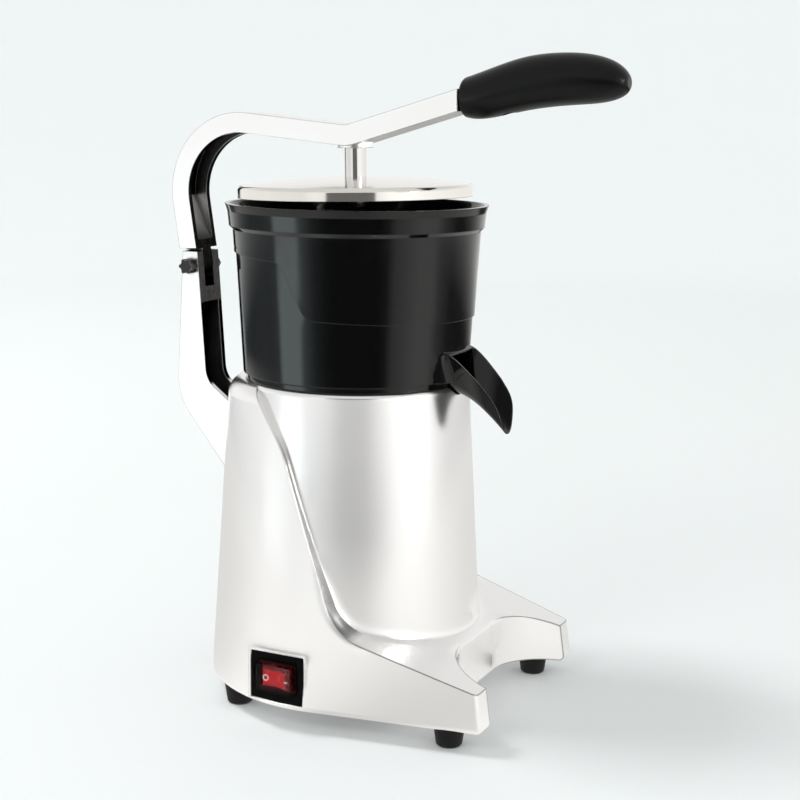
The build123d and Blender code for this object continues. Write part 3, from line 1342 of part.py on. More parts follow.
CLIP_TOP = dome(CLIP_R) - LID_T
with BuildPart() as presser_stem:
    with BuildSketch(LEVER_SIDE):
        with BuildLine():
            Polyline(
                (0, CUP_IN),
                (STEM_STUD_R, CUP_IN),
                (STEM_STUD_R, CUP_TOP),
                (STEM_R, CUP_TOP),
                (STEM_R, CLIP_TOP - CLIP_T),
                (STEM_R - GROOVE_DEPTH, CLIP_TOP - CLIP_T),
                (STEM_R - GROOVE_DEPTH, CLIP_TOP),
                (STEM_R, CLIP_TOP),
                (STEM_R, STEM_TOP),
                (STEM_STUD_R, STEM_TOP),
                (STEM_STUD_R, STEM_TOP + STUD_L),
                (0, STEM_TOP + STUD_L),
                close=True,
            )
        make_face()
    revolve(axis=STEM_AXIS)
    with BuildSketch(across_stem(CUP_IN)):
        Circle(SCREW_R + PRESS_GAP)
    extrude(amount=CUP_SCREW_L + 1, mode=Mode.SUBTRACT)
save(presser_stem, "presser_stem")

with BuildPart() as splash_lid:
    lid_hole = STEM_R + PRESS_GAP
    lid_in = LID_R - LID_T
    with BuildSketch(LEVER_SIDE) as lid_side:
        with BuildLine():
            Polyline((lid_in, dome(lid_in) - LID_T), (lid_in, LID_LOW), (LID_R, LID_LOW), (LID_R, LID_EDGE))
            ThreePointArc((LID_R, LID_EDGE), (LID_R / 2, dome(LID_R / 2)), (lid_hole, dome(lid_hole)))
            Line((lid_hole, dome(lid_hole)), (lid_hole, dome(lid_hole) - LID_T))
            ThreePointArc(
                (lid_hole, dome(lid_hole) - LID_T),
                (LID_R / 2, dome(LID_R / 2) - LID_T),
                (lid_in, dome(lid_in) - LID_T),
            )
        make_face()
        corners = lid_side.vertices().group_by(Axis.X)
        fillet(corners[-1].sort_by(Axis.Y)[-1], LID_EDGE_R)
        corners = lid_side.vertices().filter_by(lambda v: abs(v.X - lid_in) < 0.01)
        fillet(corners.sort_by(Axis.Y)[-1], LID_EDGE_R - LID_T)
    revolve(axis=STEM_AXIS)
save(splash_lid, "splash_lid")

with BuildPart() as lid_clip:
    with BuildSketch(across_stem(CLIP_TOP)):
        Circle(CLIP_R)
        Circle(STEM_R - GROOVE_DEPTH + PRESS_GAP, mode=Mode.SUBTRACT)
    extrude(amount=-CLIP_T)
save(lid_clip, "lid_clip")

with BuildPart() as presser_cup:
    cup_hole = STEM_STUD_R + PRESS_GAP
    cup_in = CUP_R - CUP_WALL
    with BuildSketch(LEVER_SIDE):
        with BuildLine():
            Line((cup_hole, CUP_IN), (cup_hole, CUP_TOP))
            Line((cup_hole, CUP_TOP), (CUP_R / 2, CUP_TOP))
            ThreePointArc(
                (CUP_R / 2, CUP_TOP), (0.86 * CUP_R, CUP_TOP - 0.38 * CUP_H), (CUP_R, CUP_LOW)
            )
            Line((CUP_R, CUP_LOW), (cup_in, CUP_LOW))
            ThreePointArc(
                (cup_in, CUP_LOW),
                (0.86 * cup_in, CUP_IN - 0.38 * (CUP_H - CUP_TOP_T)),
                (CUP_R / 2 - CUP_WALL, CUP_IN),
            )
            Line((CUP_R / 2 - CUP_WALL, CUP_IN), (cup_hole, CUP_IN))
        make_face()
    revolve(axis=STEM_AXIS)
save(presser_cup, "presser_cup")

screws(
    [across_stem(CUP_IN)], "cup_screw", CUP_SCREW_L, head_r=CUP_SCREW_HEAD_R
)
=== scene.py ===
import json
import math

import bmesh
import bpy
import numpy as np
from mathutils import Matrix, Vector


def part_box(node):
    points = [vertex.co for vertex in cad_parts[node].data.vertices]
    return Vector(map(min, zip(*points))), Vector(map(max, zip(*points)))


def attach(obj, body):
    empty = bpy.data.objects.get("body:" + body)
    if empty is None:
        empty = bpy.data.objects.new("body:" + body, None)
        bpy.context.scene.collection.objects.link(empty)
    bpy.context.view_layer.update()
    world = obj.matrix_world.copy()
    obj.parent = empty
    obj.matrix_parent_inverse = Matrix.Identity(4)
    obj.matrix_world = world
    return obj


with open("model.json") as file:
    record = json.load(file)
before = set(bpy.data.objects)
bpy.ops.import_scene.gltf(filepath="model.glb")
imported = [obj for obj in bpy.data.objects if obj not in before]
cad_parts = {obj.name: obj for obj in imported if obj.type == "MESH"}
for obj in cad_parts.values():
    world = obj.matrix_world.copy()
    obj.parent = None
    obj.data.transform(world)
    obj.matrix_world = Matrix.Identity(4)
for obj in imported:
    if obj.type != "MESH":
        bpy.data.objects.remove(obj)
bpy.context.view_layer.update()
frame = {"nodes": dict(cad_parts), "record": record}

UP = Vector((0, 0, 1))

# The spindle's axis is upright, at x = 0
AXIS_Y = sum(p.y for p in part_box("strainer")) / 2
AXIS = Vector((0, AXIS_Y, 0))

# Camera fitted to the photograph
CAMERA_TURN, CAMERA_AIM, CAMERA_DIP, CAMERA_ROLL = (
    math.radians(v) for v in (62.63, 64.30, 10.58, 0.69))
CAMERA_AWAY = 0.855
CAMERA_HEIGHT = 0.326
FRAME_PIXELS = 800
FOCAL_PIXELS = 1536
SENSOR_MM = 36
TO_CAMERA = Vector((-math.sin(CAMERA_TURN), -math.cos(CAMERA_TURN), 0))
TO_RIGHT = Vector((math.cos(CAMERA_TURN), -math.sin(CAMERA_TURN), 0))


def link(obj):
    bpy.context.scene.collection.objects.link(obj)


def camera():
    """Camera at the photograph's place, turn and lens."""
    level = math.cos(CAMERA_DIP)
    ahead = Vector((math.sin(CAMERA_AIM) * level, math.cos(CAMERA_AIM) * level,
                    -math.sin(CAMERA_DIP)))
    right = Vector((math.cos(CAMERA_AIM), -math.sin(CAMERA_AIM), 0))
    up = right.cross(ahead)
    across = right * math.cos(CAMERA_ROLL) + up * math.sin(CAMERA_ROLL)
    above = up * math.cos(CAMERA_ROLL) - right * math.sin(CAMERA_ROLL)
    data = bpy.data.cameras.new("camera")
    data.sensor_width = SENSOR_MM
    data.lens = SENSOR_MM * FOCAL_PIXELS / FRAME_PIXELS
    data.clip_start = 0.01
    obj = bpy.data.objects.new("camera", data)
    place = TO_CAMERA * CAMERA_AWAY + AXIS + UP * CAMERA_HEIGHT
    turned = Matrix((across, above, -ahead)).transposed().to_4x4()
    obj.matrix_world = Matrix.Translation(place) @ turned
    link(obj)
    bpy.context.scene.camera = obj


camera()
bpy.context.scene.view_settings.view_transform = "Standard"


# Node helpers
def node(tree, kind, inputs=None, **settings):
    """New shader node; an input given as a socket is linked, any other is set."""
    made = tree.nodes.new(kind)
    for name, value in settings.items():
        setattr(made, name, value)
    for key, value in (inputs or {}).items():
        if isinstance(value, bpy.types.NodeSocket):
            tree.links.new(value, made.inputs[key])
        else:
            made.inputs[key].default_value = value
    return made


def maths(tree, kind, *values):
    return node(tree, "ShaderNodeMath", dict(enumerate(values)), operation=kind).outputs[0]


def vector(tree, kind, *values):
    """Vector maths; gives a number for a dot product, distance or length, else a vector."""
    made = node(tree, "ShaderNodeVectorMath", dict(enumerate(values)), operation=kind)
    number = kind in ("DOT_PRODUCT", "DISTANCE", "LENGTH")
    return made.outputs["Value" if number else "Vector"]


def part_of(tree, place, axis):
    """One coordinate of a vector."""
    return node(tree, "ShaderNodeSeparateXYZ", {0: place}).outputs[axis]


def distance_from_axis(tree, place):
    """Distance from the spindle's axis."""
    return vector(tree, "DISTANCE", vector(tree, "MULTIPLY", place, (1, 1, 0)), AXIS)


def normal_of(tree):
    return tree.nodes.new("ShaderNodeNewGeometry").outputs["Normal"]


def product(tree, first, *others):
    """Product of several masks."""
    for other in others:
        first = maths(tree, "MULTIPLY", first, other)
    return first


def span(tree, value, low, high, start=0.15, end=0.85):
    """Value spread from start and end, by default those of a noise, over low and high."""
    made = node(tree, "ShaderNodeMapRange", {0: value, 1: start, 2: end, 3: low, 4: high})
    return made.outputs[0]


def rises(tree, value, start, end):
    """Mask that goes from 0 at start to 1 at end."""
    return span(tree, value, 0, 1, start, end)


def falls(tree, value, start, end):
    """Mask that goes from 1 at start to 0 at end."""
    return span(tree, value, 1, 0, start, end)


def noise(tree, place, scale, detail=2.0, stretch=None):
    """Noise of a given scale, stretched along an axis where asked."""
    if stretch:
        place = node(tree, "ShaderNodeMapping", {"Vector": place, "Scale": stretch}).outputs[0]
    made = node(tree, "ShaderNodeTexNoise", {"Vector": place, "Scale": scale, "Detail": detail})
    return made.outputs["Fac"]


def patches(tree, place, scale, detail):
    """Noise as a mask."""
    return span(tree, noise(tree, place, scale, detail), 0, 1)


def mix(tree, share, first, second):
    """Mix of two colours."""
    inputs = {0: share, 6: first, 7: second}
    return node(tree, "ShaderNodeMix", inputs, data_type="RGBA").outputs[2]


def mix_numbers(tree, share, first, second):
    return node(tree, "ShaderNodeMix", {0: share, 2: first, 3: second}).outputs[0]


def mix_directions(tree, share, first, second):
    """Unit vector between two directions."""
    inputs = {0: share, 4: first, 5: second}
    both = node(tree, "ShaderNodeMix", inputs, data_type="VECTOR").outputs[1]
    return vector(tree, "NORMALIZE", both)


def bump(tree, height, distance, strength, normal=None):
    inputs = {"Height": height, "Distance": distance, "Strength": strength}
    if normal is not None:
        inputs["Normal"] = normal
    return node(tree, "ShaderNodeBump", inputs).outputs[0]


def rounded_normal(tree, radius, samples):
    """Normal that is rounded near edges, for the shading only."""
    return node(tree, "ShaderNodeBevel", {"Radius": radius}, samples=samples).outputs[0]


def edges(tree, radius):
    """Normal that is rounded only close to edges, and a mask of the edges."""
    soft = rounded_normal(tree, radius, 6)
    flat = normal_of(tree)
    turned = vector(tree, "DOT_PRODUCT", soft, flat)
    near = falls(tree, turned, 0.99, 0.999)
    return mix_directions(tree, near, flat, soft), falls(tree, turned, 0.86, 0.995)


def facing(tree, way, start, end):
    """Mask of the faces that look along a direction."""
    return rises(tree, vector(tree, "DOT_PRODUCT", normal_of(tree), way), start, end)


def grey(value, warm=0.0):
    return (value + warm, value, value - warm, 1)


def material(name, **constants):
    """New material with its shader's constant values set; gives its tree, shader and place."""
    mat = bpy.data.materials.new(name)
    mat.use_nodes = True
    tree = mat.node_tree
    shader = tree.nodes["Principled BSDF"]
    for key, value in constants.items():
        shader.inputs[key.replace("_", " ")].default_value = value
    place = tree.nodes.new("ShaderNodeTexCoord").outputs["Object"]
    return mat, tree, shader, place


def wire(tree, shader, **sockets):
    """Links sockets to the shader's inputs."""
    for key, value in sockets.items():
        tree.links.new(value, shader.inputs[key.replace("_", " ")])


# Cast aluminium
CAST_LIGHT = 0.92
CAST_ROUGH = 0.245
CAST_ROUGH_VARIES = 0.015
BODY_EDGE = 0.0016
LEVER_EDGE = 0.0007


def away_from_switch(tree, place):
    """Mask that is 0 round the switch's opening and 1 elsewhere."""
    low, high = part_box("switch_housing")
    return rises(tree, vector(tree, "DISTANCE", place, (low + high) / 2), 0.026, 0.03)


def cheek_cut(tree, place):
    """Mask of the faces where the sweep cuts through the body's two cheeks."""
    flat = normal_of(tree)
    up = part_of(tree, place, 2)
    return product(
        tree,
        falls(tree, maths(tree, "ABSOLUTE", part_of(tree, flat, 0)), 0.03, 0.06),
        falls(tree, part_of(tree, flat, 1), -0.55, -0.4),
        rises(tree, maths(tree, "ABSOLUTE", part_of(tree, place, 0)), 0.02, 0.03),
        rises(tree, up, 0.046, 0.056),
        falls(tree, up, 0.115, 0.15))


def body_finish(tree, place, soft, edge, colour):
    """The barrel runs softly into the ledge; the cheeks' cut gets painted shade, darker towards the
    bottom, and the ledge's low edge a painted dark line.
    """
    up = part_of(tree, place, 2)
    reach = distance_from_axis(tree, place)
    barrel_root = product(tree, falls(tree, reach, 0.081, 0.089), falls(tree, up, 0.072, 0.098),
                          rises(tree, up, 0.034, 0.040))
    soft = mix_directions(tree, barrel_root, soft, rounded_normal(tree, 0.009, 8))
    # Painted shade on the faces where the sweep cuts the cheeks, darker towards the bottom.
    painted_cut_shade = mix(tree, rises(tree, up, 0.06, 0.12), grey(0.22), grey(0.55))
    colour = mix(tree, cheek_cut(tree, place), colour, painted_cut_shade)
    # Painted dark line along the ledge's low edge, standing in for a dark reflection, kept away
    # from the switch.
    painted_dark_rim_line = product(tree, edge, away_from_switch(tree, place), falls(tree, up, 0.06, 0.085),
                  rises(tree, reach, 0.081, 0.086))
    return soft, mix(tree, painted_dark_rim_line, colour, grey(0.03))


def post_channel_painted_shade(tree, place):
    """Near-black painted shade in the post's channel, grey painted shade on the block above it."""
    block = mix(tree, patches(tree, place, 300, 4), grey(0.05), grey(0.10, 0.002))
    return mix(tree, rises(tree, part_of(tree, place, 2), 0.2160, 0.2168), grey(0.003), block)


def arm_channel_painted_shade_and_light(tree, place):
    """Dark painted shade in the arm's channel, painted light on the ramp at its lower end."""
    dark = mix(tree, patches(tree, place, 300, 4), grey(0.016), grey(0.036, 0.001))
    ramp = rises(tree, part_of(tree, place, 2), 0.254, 0.278)
    # Painted light on the ramp's upward-tilted faces, brighter higher up.
    pale = mix(tree, ramp, grey(0.07), grey(0.42, 0.006))
    return mix(tree, facing(tree, (0, -0.91, 0.42), 0.97, 0.985), dark, pale)


def lever_finish(tree, place, edge, colour, inside):
    """A lever's edges get painted dark lines; its faces that look at the bowl and its occluded
    recesses get painted shade.
    """
    behind = rises(tree, part_of(tree, place, 1), AXIS_Y + 0.055, AXIS_Y + 0.075)
    # Painted shade on the rear faces that look at the bowl.
    painted_shade_toward_bowl = product(tree, facing(tree, (0, -0.96, -0.28), 0.45, 0.6), behind)
    # Ambient occlusion sets near-black painted shade in the recesses.
    open_sky = node(tree, "ShaderNodeAmbientOcclusion", {"Distance": 0.012}, samples=8)
    painted_recess_shade = product(tree, falls(tree, open_sky.outputs["AO"], 0.35, 0.68), behind)
    # Painted dark lines along the edges, standing in for dark reflections.
    colour = mix(tree, maths(tree, "MULTIPLY", edge, 0.8), colour, grey(0.3))
    colour = mix(tree, painted_shade_toward_bowl, colour, inside(tree, place))
    return mix(tree, painted_recess_shade, colour, grey(0.004))


def cast(name, light=CAST_LIGHT, body=False, inside=None):
    """Satin cast aluminium, polished by hand and so faintly wavy."""
    mat, tree, shader, place = material(name, Metallic=1.0)
    soft, edge = edges(tree, BODY_EDGE if body else LEVER_EDGE)
    colour = mix(tree, patches(tree, place, 24, 3),
                 grey(light - 0.015, 0.004), grey(light + 0.01, 0.002))
    if body:
        # The body gets painted shade on the cheeks' cut and a painted dark line along the ledge's
        # edge.
        soft, colour = body_finish(tree, place, soft, edge, colour)
    # A lever gets painted shade and painted light from lever_finish, and its specular tint follows
    # them.
    if inside:
        colour = lever_finish(tree, place, edge, colour, inside)
        wire(tree, shader, Specular_Tint=colour)
    satin = span(tree, noise(tree, place, 40, 1),
                 CAST_ROUGH - CAST_ROUGH_VARIES, CAST_ROUGH + CAST_ROUGH_VARIES)
    wavy = bump(tree, noise(tree, place, 30, 1), 0.00010, 0.5, soft)
    wire(tree, shader, Base_Color=colour, Roughness=satin, Normal=wavy)
    return mat


# Plastic and rubber
def moulded(name, dark, rough, grain_size, grain_depth,
            wave=0.0, warm=0.0, tint=None, shine=None, **constants):
    """Moulded plastic or rubber with a fine surface grain and paler rubbed edges."""
    mat, tree, shader, place = material(name, **constants)
    if shine:
        wire(tree, shader, Specular_IOR_Level=shine(tree, place))
    soft, edge = edges(tree, 0.0006)
    colour = mix(tree, patches(tree, place, 45, 3),
                 grey(dark * 0.8, warm), grey(dark * 1.2, warm))
    rubbed = maths(tree, "MULTIPLY", edge, 0.5)
    colour = mix(tree, rubbed, colour, grey(dark * 2.2 + 0.004, warm))
    if tint:
        colour = tint(tree, place, colour)
    satin = span(tree, noise(tree, place, 130, 3), rough - 0.03, rough + 0.05)
    if wave:
        soft = bump(tree, noise(tree, place, 16, 1, (1, 1, 0.25)), wave, 0.6, soft)
    fine = bump(tree, noise(tree, place, grain_size, 2), grain_depth, 0.6, soft)
    wire(tree, shader, Base_Color=colour, Roughness=satin, Normal=fine)
    return mat


def bowl_shine(tree, place):
    """The bowl is glossy and its spout duller."""
    return span(tree, distance_from_axis(tree, place), 0.42, 0.10, 0.077, 0.083)


def away_along(tree, place, axis, middle):
    """Distance from a middle along one axis."""
    return maths(tree, "ABSOLUTE", maths(tree, "SUBTRACT", part_of(tree, place, axis), middle))


def painted_red_light_under_cap(tree, place, colour):
    """Painted red light from the rocker on the black frame that lies under the clear cap."""
    low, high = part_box("switch_cap")
    middle, half = (low + high) / 2, (high - low) / 2
    under_cap = product(tree, *(
        falls(tree, away_along(tree, place, axis, middle[axis]),
              half[axis] - 0.002, half[axis] - 0.0005)
        for axis in (1, 2)))
    return mix(tree, under_cap, colour, (0.05, 0.004, 0.006, 1))


def rocker_red():
    """Red switch plastic, with painted shade towards the rims of the rocker."""
    mat, tree, shader, place = material("rocker_red", Specular_IOR_Level=0.3)
    soft, _ = edges(tree, 0.0004)
    low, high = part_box("rocker")
    middle = (low + high) / 2
    # Painted shade towards the rims of the rocker.
    dim = maths(tree, "MAXIMUM",
                rises(tree, away_along(tree, place, 1, middle.y + 0.0022), 0.0072, 0.0084),
                rises(tree, away_along(tree, place, 2, middle.z - 0.0012), 0.0038, 0.0048))
    colour = mix(tree, dim, (0.52, 0.004, 0.007, 1), (0.09, 0.003, 0.005, 1))
    faint = span(tree, noise(tree, place, 220, 2), 0, 0.12)
    colour = mix(tree, faint, colour, (0.62, 0.012, 0.014, 1))
    satin = span(tree, noise(tree, place, 300, 2), 0.22, 0.32)
    wire(tree, shader, Base_Color=colour, Roughness=satin, Normal=soft)
    return mat


def cap_clear():
    """Clear soft cap over the rocker, faintly clouded."""
    mat, tree, shader, place = material(
        "cap_clear", IOR=1.12, Transmission_Weight=1.0, Specular_IOR_Level=0.05)
    haze = noise(tree, place, 260, 3)
    tint = mix(tree, span(tree, haze, 0, 1), (0.93, 0.92, 0.92, 1), (0.99, 0.98, 0.98, 1))
    wire(tree, shader, Base_Color=tint, Roughness=span(tree, haze, 0.01, 0.03),
         Normal=bump(tree, haze, 0.00003, 0.1))
    return mat


# Other metals
def turned_steel(name, colour, rough, depth, rings=False):
    """Polished or machined steel; its fine marks may run in rings round the spindle's axis."""
    mat, tree, shader, place = material(name, Metallic=1.0)
    soft, edge = edges(tree, 0.0004)
    if rings:
        reach, up = distance_from_axis(tree, place), part_of(tree, place, 2)
        ring = node(tree, "ShaderNodeCombineXYZ", {0: reach, 2: up}).outputs[0]
        marks = noise(tree, ring, 1500, 3)
    else:
        marks = noise(tree, place, 900, 3, (1, 1, 0.08))
    tone = mix(tree, patches(tree, place, 40, 3),
               tuple(0.94 * c for c in colour) + (1,), tuple(colour) + (1,))
    # Painted glints: the edges are painted near white.
    tone = mix(tree, maths(tree, "MULTIPLY", edge, 0.6), tone, grey(0.93))
    satin = span(tree, marks, rough * 0.8, rough * 1.3)
    wire(tree, shader, Base_Color=tone, Roughness=satin,
         Normal=bump(tree, marks, depth, 0.5, soft))
    return mat


def copper():
    """Enamelled copper wire, wound so close that only its fine ribs show."""
    mat, tree, shader, place = material("copper", Metallic=0.9)
    wound = node(tree, "ShaderNodeTexWave", {"Vector": place, "Scale": 420, "Distortion": 1.5},
                 bands_direction="Z").outputs["Fac"]
    colour = mix(tree, wound, (0.42, 0.17, 0.07, 1), (0.74, 0.36, 0.18, 1))
    wire(tree, shader, Base_Color=colour, Roughness=span(tree, noise(tree, place, 90), 0.3, 0.45),
         Normal=bump(tree, wound, 0.0002, 0.5))
    return mat


def lamination():
    """Stack of thin steel sheets, with the joints between them as fine lines."""
    mat, tree, shader, place = material("lamination", Metallic=0.85)
    sheet = node(tree, "ShaderNodeTexWave", {"Vector": place, "Scale": 300},
                 bands_direction="Z").outputs["Fac"]
    colour = mix(tree, sheet, (0.14, 0.14, 0.15, 1), (0.36, 0.37, 0.39, 1))
    wire(tree, shader, Base_Color=colour,
         Roughness=span(tree, noise(tree, place, 120), 0.38, 0.52),
         Normal=bump(tree, sheet, 0.0001, 0.5))
    return mat


LOOKS = {
    "cast_aluminium": cast("cast_aluminium"),
    "bowl_black": moulded("bowl_black", 0.002, 0.08, 700, 0.000004, wave=0.0004,
                          shine=bowl_shine),
    "grip_black": moulded("grip_black", 0.002, 0.30, 2200, 0.00003, Specular_IOR_Level=0.2),
    "lid_steel": turned_steel("lid_steel", (0.83, 0.81, 0.77), 0.10, 0.000008, rings=True),
    "chrome": turned_steel("chrome", (0.76, 0.75, 0.74), 0.07, 0.000004),
    "steel": turned_steel("steel", (0.62, 0.62, 0.63), 0.3, 0.00002),
    "rubber_black": moulded("rubber_black", 0.005, 0.6, 1500, 0.00005, Specular_IOR_Level=0.2),
    "plastic_black": moulded("plastic_black", 0.004, 0.46, 1800, 0.00003,
                             Specular_IOR_Level=0.15),
    "rocker_red": rocker_red(),
    "cap_clear": cap_clear(),
    "plastic_white": moulded("plastic_white", 0.78, 0.38, 1600, 0.00002, warm=0.012),
    "copper": copper(),
    "lamination": lamination(),
}
# The chrome bolt and nut are painted near black, a painted dark reflection, and get the painted
# glints on their edges.
BOLT_PAINTED_DARK_LOOK = turned_steel("bolt_chrome_painted_dark", (0.05, 0.05, 0.052), 0.12, 0.000004)
NODE_LOOKS = {
    "body_casting": cast("cast_body", body=True),
    # The post's aluminium is set darker than the body's: painted shade that tones down its brightly
    # lit side.
    "lever_post": cast("cast_post", 0.82, inside=post_channel_painted_shade),
    "lever_arm": cast("cast_arm", 0.97, inside=arm_channel_painted_shade_and_light),
    "pivot_bolt": BOLT_PAINTED_DARK_LOOK,
    "pivot_nut": BOLT_PAINTED_DARK_LOOK,
    # The housing carries painted red light from the rocker under the clear cap.
    "switch_housing": moulded("housing_black", 0.003, 0.46, 1800, 0.00003, tint=painted_red_light_under_cap,
                              Specular_IOR_Level=0.04),
}
for entry in frame["record"]["subparts"]:
    mesh = frame["nodes"][entry["node"]].data
    mesh.materials.clear()
    mesh.materials.append(NODE_LOOKS.get(entry["node"], LOOKS[entry["material_slot"]]))


# Marks on the rocker
MARK_THICK = 0.00012
MARK_LIFT = 0.00002
MARK_DROP = 0.0014
ROCKER_TILT = math.radians(16)


def rounded(half_u, half_v, radius):
    """Outline of a rounded bar, or a circle where its halves equal its radius."""
    points = []
    for a in (2 * math.pi * i / 40 for i in range(40)):
        u = math.copysign(half_u - radius, math.cos(a)) + radius * math.cos(a)
        v = math.copysign(half_v - radius, math.sin(a)) + radius * math.sin(a)
        points.append((u, v))
    return points


def rocker_mark(name, inside, outline, place, away):
    """Thin raised print with an opening inside its outline, laid on a face of the rocker."""
    mesh = bmesh.new()
    count = len(outline)
    loops = []
    for points, up in ((outline, 0), (outline, MARK_THICK), (inside, MARK_THICK), (inside, 0)):
        loops.append([mesh.verts.new((u, v, up)) for u, v in points])
    for first, second in zip(loops, loops[1:] + loops[:1]):
        for i in range(count):
            j = (i + 1) % count
            mesh.faces.new((first[i], first[j], second[j], second[i]))
    bmesh.ops.remove_doubles(mesh, verts=mesh.verts, dist=1e-7)
    bmesh.ops.recalc_face_normals(mesh, faces=mesh.faces)
    data = bpy.data.meshes.new(name)
    mesh.to_mesh(data)
    mesh.free()
    data.materials.append(LOOKS["plastic_white"])
    obj = bpy.data.objects.new(name, data)
    turned = Matrix((UP.cross(away).normalized(), UP, away)).transposed().to_4x4()
    obj.matrix_world = Matrix.Translation(place + away * MARK_LIFT) @ turned
    link(obj)
    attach(obj, "rocker")


def rocker_marks():
    """A ring on the rocker's rear half and a bar on its front half, which is tilted at rest."""
    low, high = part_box("rocker")
    middle = (low + high) / 2
    slope = math.tan(ROCKER_TILT)
    fold_x = low.x + (high.y - low.y) / 2 * slope
    mark_z = middle.z - MARK_DROP
    ring_y, bar_y = 0.0072, 0.0070
    rocker_mark("mark_off", rounded(0.00125, 0.00125, 0.00125), rounded(0.0018, 0.0018, 0.0018),
                Vector((fold_x, middle.y + ring_y, mark_z)), Vector((-1, 0, 0)))
    rocker_mark("mark_on", rounded(0.0009, 0.00008, 0.00008), rounded(0.0016, 0.00034, 0.0003),
                Vector((fold_x - bar_y * slope, middle.y - bar_y, mark_z)),
                Vector((-math.cos(ROCKER_TILT), -math.sin(ROCKER_TILT), 0)).normalized())


rocker_marks()

# Floor
FLOOR_FLAT = 2.2
FLOOR_BEND = 1.5
FLOOR_TOP = 2.2
FAR_COLOUR = (0.95, 0.985, 0.99, 1)


def floor():
    """Plain pale floor that curves up far from the juicer, all round it."""
    rows = [(FLOOR_FLAT + FLOOR_BEND * math.sin(a), FLOOR_BEND - FLOOR_BEND * math.cos(a))
            for a in np.linspace(0, math.pi / 2, 12)] + [(FLOOR_FLAT + FLOOR_BEND, FLOOR_TOP)]
    turns = np.linspace(0, 2 * math.pi, 72, endpoint=False)
    count = len(turns)
    points = [(r * math.cos(a), r * math.sin(a), h) for r, h in rows for a in turns]
    walls = []
    for k in range(len(rows) - 1):
        for i in range(count):
            near, far, j = k * count, (k + 1) * count, (i + 1) % count
            walls.append((near + i, far + i, far + j, near + j))
    mesh = bpy.data.meshes.new("floor")
    mesh.from_pydata(points, [], walls + [tuple(range(count))])
    mesh.polygons.foreach_set("use_smooth", [True] * len(walls) + [False])
    obj = bpy.data.objects.new("floor", mesh)
    link(obj)
    obj.visible_glossy = False
    mat, tree, shader, place = material("floor", Specular_IOR_Level=0.1, Roughness=0.7)
    far = rises(tree, vector(tree, "LENGTH", place), 0.5, 2.4)
    colour = mix(tree, patches(tree, place, 1.1, 2), (0.77, 0.80, 0.805, 1), (0.79, 0.815, 0.82, 1))
    wire(tree, shader, Base_Color=mix(tree, far, colour, FAR_COLOUR))
    mesh.materials.append(mat)


floor()


# Light: cards that only polished faces see, the studio's surroundings and two lamps
CURVE_TOP = 4.0
NO_FADE = (2.0, 3.0)


def profile(tree, across, ahead, points):
    """Light by the direction seen from the juicer, in degrees to the right of the camera's side."""
    share = rises(tree, maths(tree, "ARCTAN2", across, ahead), -math.pi, math.pi)
    curve = node(tree, "ShaderNodeFloatCurve", {"Factor": 1.0, "Value": share})
    line = curve.mapping.curves[0]
    while len(line.points) < len(points):
        line.points.new(0.5, 0.5)
    for point, (degrees, light) in zip(line.points, points):
        point.location = ((degrees + 180) / 360, light / CURVE_TOP)
        point.handle_type = "VECTOR"
    curve.mapping.update()
    return maths(tree, "MULTIPLY", curve.outputs[0], CURVE_TOP)


def reflector(name, points, faces, lights, centre, fade, times=1.0):
    """Card that only polished faces see; its light fades out with the distance from a centre."""
    mesh = bpy.data.meshes.new(name)
    mesh.from_pydata(points, [], faces)
    obj = bpy.data.objects.new(name, mesh)
    link(obj)
    for ray in ("camera", "diffuse", "shadow", "transmission", "volume_scatter"):
        setattr(obj, "visible_" + ray, False)
    mat = bpy.data.materials.new(name)
    mat.use_nodes = True
    tree = mat.node_tree
    place = tree.nodes.new("ShaderNodeTexCoord").outputs["Object"]
    away = vector(tree, "SUBTRACT", place, AXIS)
    light = profile(tree, vector(tree, "DOT_PRODUCT", away, TO_RIGHT),
                    vector(tree, "DOT_PRODUCT", away, TO_CAMERA), lights)
    light = maths(tree, "MULTIPLY", light, times)
    glow = node(tree, "ShaderNodeEmission", {"Color": (1, 0.99, 0.965, 1), "Strength": light})
    gone = tree.nodes.new("ShaderNodeBsdfTransparent")
    reach = vector(tree, "DISTANCE", place, centre)
    both = node(tree, "ShaderNodeMixShader",
                {0: rises(tree, reach, *fade), 1: glow.outputs[0], 2: gone.outputs[0]})
    tree.links.new(both.outputs[0], tree.nodes["Material Output"].inputs["Surface"])
    mesh.materials.append(mat)


def ground_card():
    """Pale ground near the juicer, as its lower faces mirror it."""
    centre = AXIS + UP * 0.0004 - TO_CAMERA * 0.28
    turns = np.linspace(0, 2 * math.pi, 48, endpoint=False)
    ring = [centre + Vector((math.cos(a), math.sin(a), 0)) * 0.88 for a in turns]
    lights = [(-180, 0.76), (-120, 0.78), (-95, 0.86), (-70, 1.04), (-40, 1.06), (-27, 0.88),
              (-14, 0.70), (8, 0.70), (20, 0.86), (34, 1.0), (55, 1.02), (80, 0.90),
              (110, 0.80), (180, 0.76)]
    reflector("ground_card", ring, [tuple(range(len(ring)))], lights, centre, (0.72, 0.86))


def upright_card(name, degrees, away, heights, lights, times=1.0):
    """Curved upright card round the spindle's axis."""
    turns = [math.radians(a) for a in degrees]
    points = [AXIS + (TO_CAMERA * math.cos(a) + TO_RIGHT * math.sin(a)) * away + UP * z
              for a in turns for z in heights]
    faces = [(2 * i, 2 * i + 1, 2 * i + 3, 2 * i + 2) for i in range(len(turns) - 1)]
    reflector(name, points, faces, lights, AXIS, NO_FADE, times)


ground_card()
# Dim strip in front, as the lid's skirt and the stem mirror it
upright_card("dim_card", np.linspace(-26, 17, 9), 0.42, (0.225, 0.37),
             [(-180, 0.15), (180, 0.17)])
# Narrow light to the right, as the end of the grip mirrors it
upright_card("grip_light", (52, 56, 60), 1.0, (0.40, 0.62), [(-180, 4.0), (180, 4.0)], 5.0)


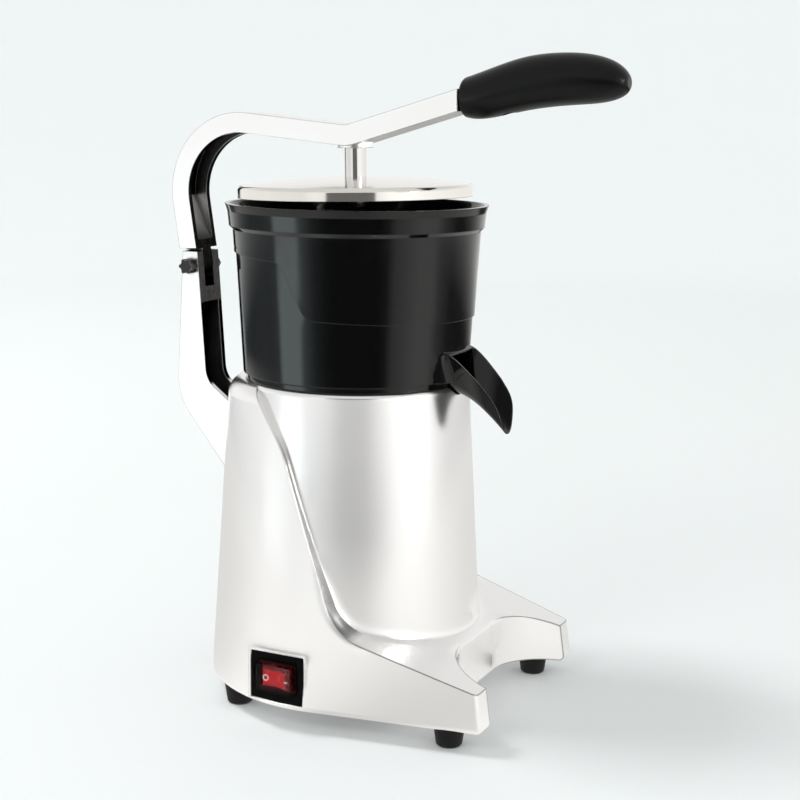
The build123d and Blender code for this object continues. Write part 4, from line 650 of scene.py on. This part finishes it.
def studio():
    """Studio surroundings: soft boxes and dim gaps round the juicer, by direction."""
    world = bpy.data.worlds.new("studio")
    bpy.context.scene.world = world
    world.use_nodes = True
    tree = world.node_tree
    way = tree.nodes.new("ShaderNodeTexCoord").outputs["Generated"]
    across, ahead, height = (vector(tree, "DOT_PRODUCT", way, axis)
                             for axis in (TO_RIGHT, TO_CAMERA, UP))
    level = profile(tree, across, ahead, [
        (-180, 0.95), (-140, 1.0), (-110, 1.0), (-90, 1.0), (-75, 0.95), (-52, 0.93), (-40, 1.08),
        (-27, 1.03), (-15, 0.79), (0, 0.75), (10, 0.78), (19, 1.03), (32, 1.25), (50, 1.3),
        (66, 1.2), (80, 1.16), (100, 1.1), (125, 1.05), (180, 0.95)])
    below = profile(tree, across, ahead, [
        (-180, 0.1), (-125, 0.15), (-105, 0.32), (-92, 0.42), (-83, 0.6), (-78, 2.6), (-58, 2.8),
        (-53, 1.1), (-46, 0.6), (-40, 0.3), (-30, 0.1), (-22, 0.05), (20, 0.05), (28, 0.15),
        (36, 0.7), (60, 1.25), (75, 1.15), (85, 0.5), (100, 0.12), (120, 0.05), (180, 0.1)])
    lower = falls(tree, height, -0.18, -0.12)
    light = mix_numbers(tree, lower, level, below)
    light = mix_numbers(tree, falls(tree, height, -0.38, -0.33), light, 0.5)
    light = mix_numbers(tree, rises(tree, height, 0.2, 0.6), light, 0.78)
    seen = tree.nodes.new("ShaderNodeLightPath").outputs["Is Camera Ray"]
    light = mix_numbers(tree, seen, light, 0.92)
    cool = product(tree, lower, falls(tree, across, -0.5, 0.1))
    colour = mix(tree, cool, (1.0, 0.995, 0.98, 1), (0.86, 0.97, 1.0, 1))
    wire(tree, tree.nodes["Background"], Color=mix(tree, seen, colour, FAR_COLOUR), Strength=light)


def lamp(name, place, target, size, power):
    """Square soft box that looks at a target and isn't mirrored."""
    data = bpy.data.lights.new(name, "AREA")
    data.shape = "RECTANGLE"
    data.size = data.size_y = size
    data.energy = power
    obj = bpy.data.objects.new(name, data)
    ahead = (target - place).normalized()
    obj.rotation_euler = ahead.to_track_quat("-Z", "Y").to_euler()
    obj.location = place
    obj.visible_glossy = False
    link(obj)


studio()
lamp("key", UP * 2.2 - TO_RIGHT * 1.2 - TO_CAMERA * 0.35, UP * 0.1, 0.6, 25)
lamp("front", UP * 1.3 - TO_RIGHT * 0.9 + TO_CAMERA * 1.1, UP * 0.15, 0.5, 3)
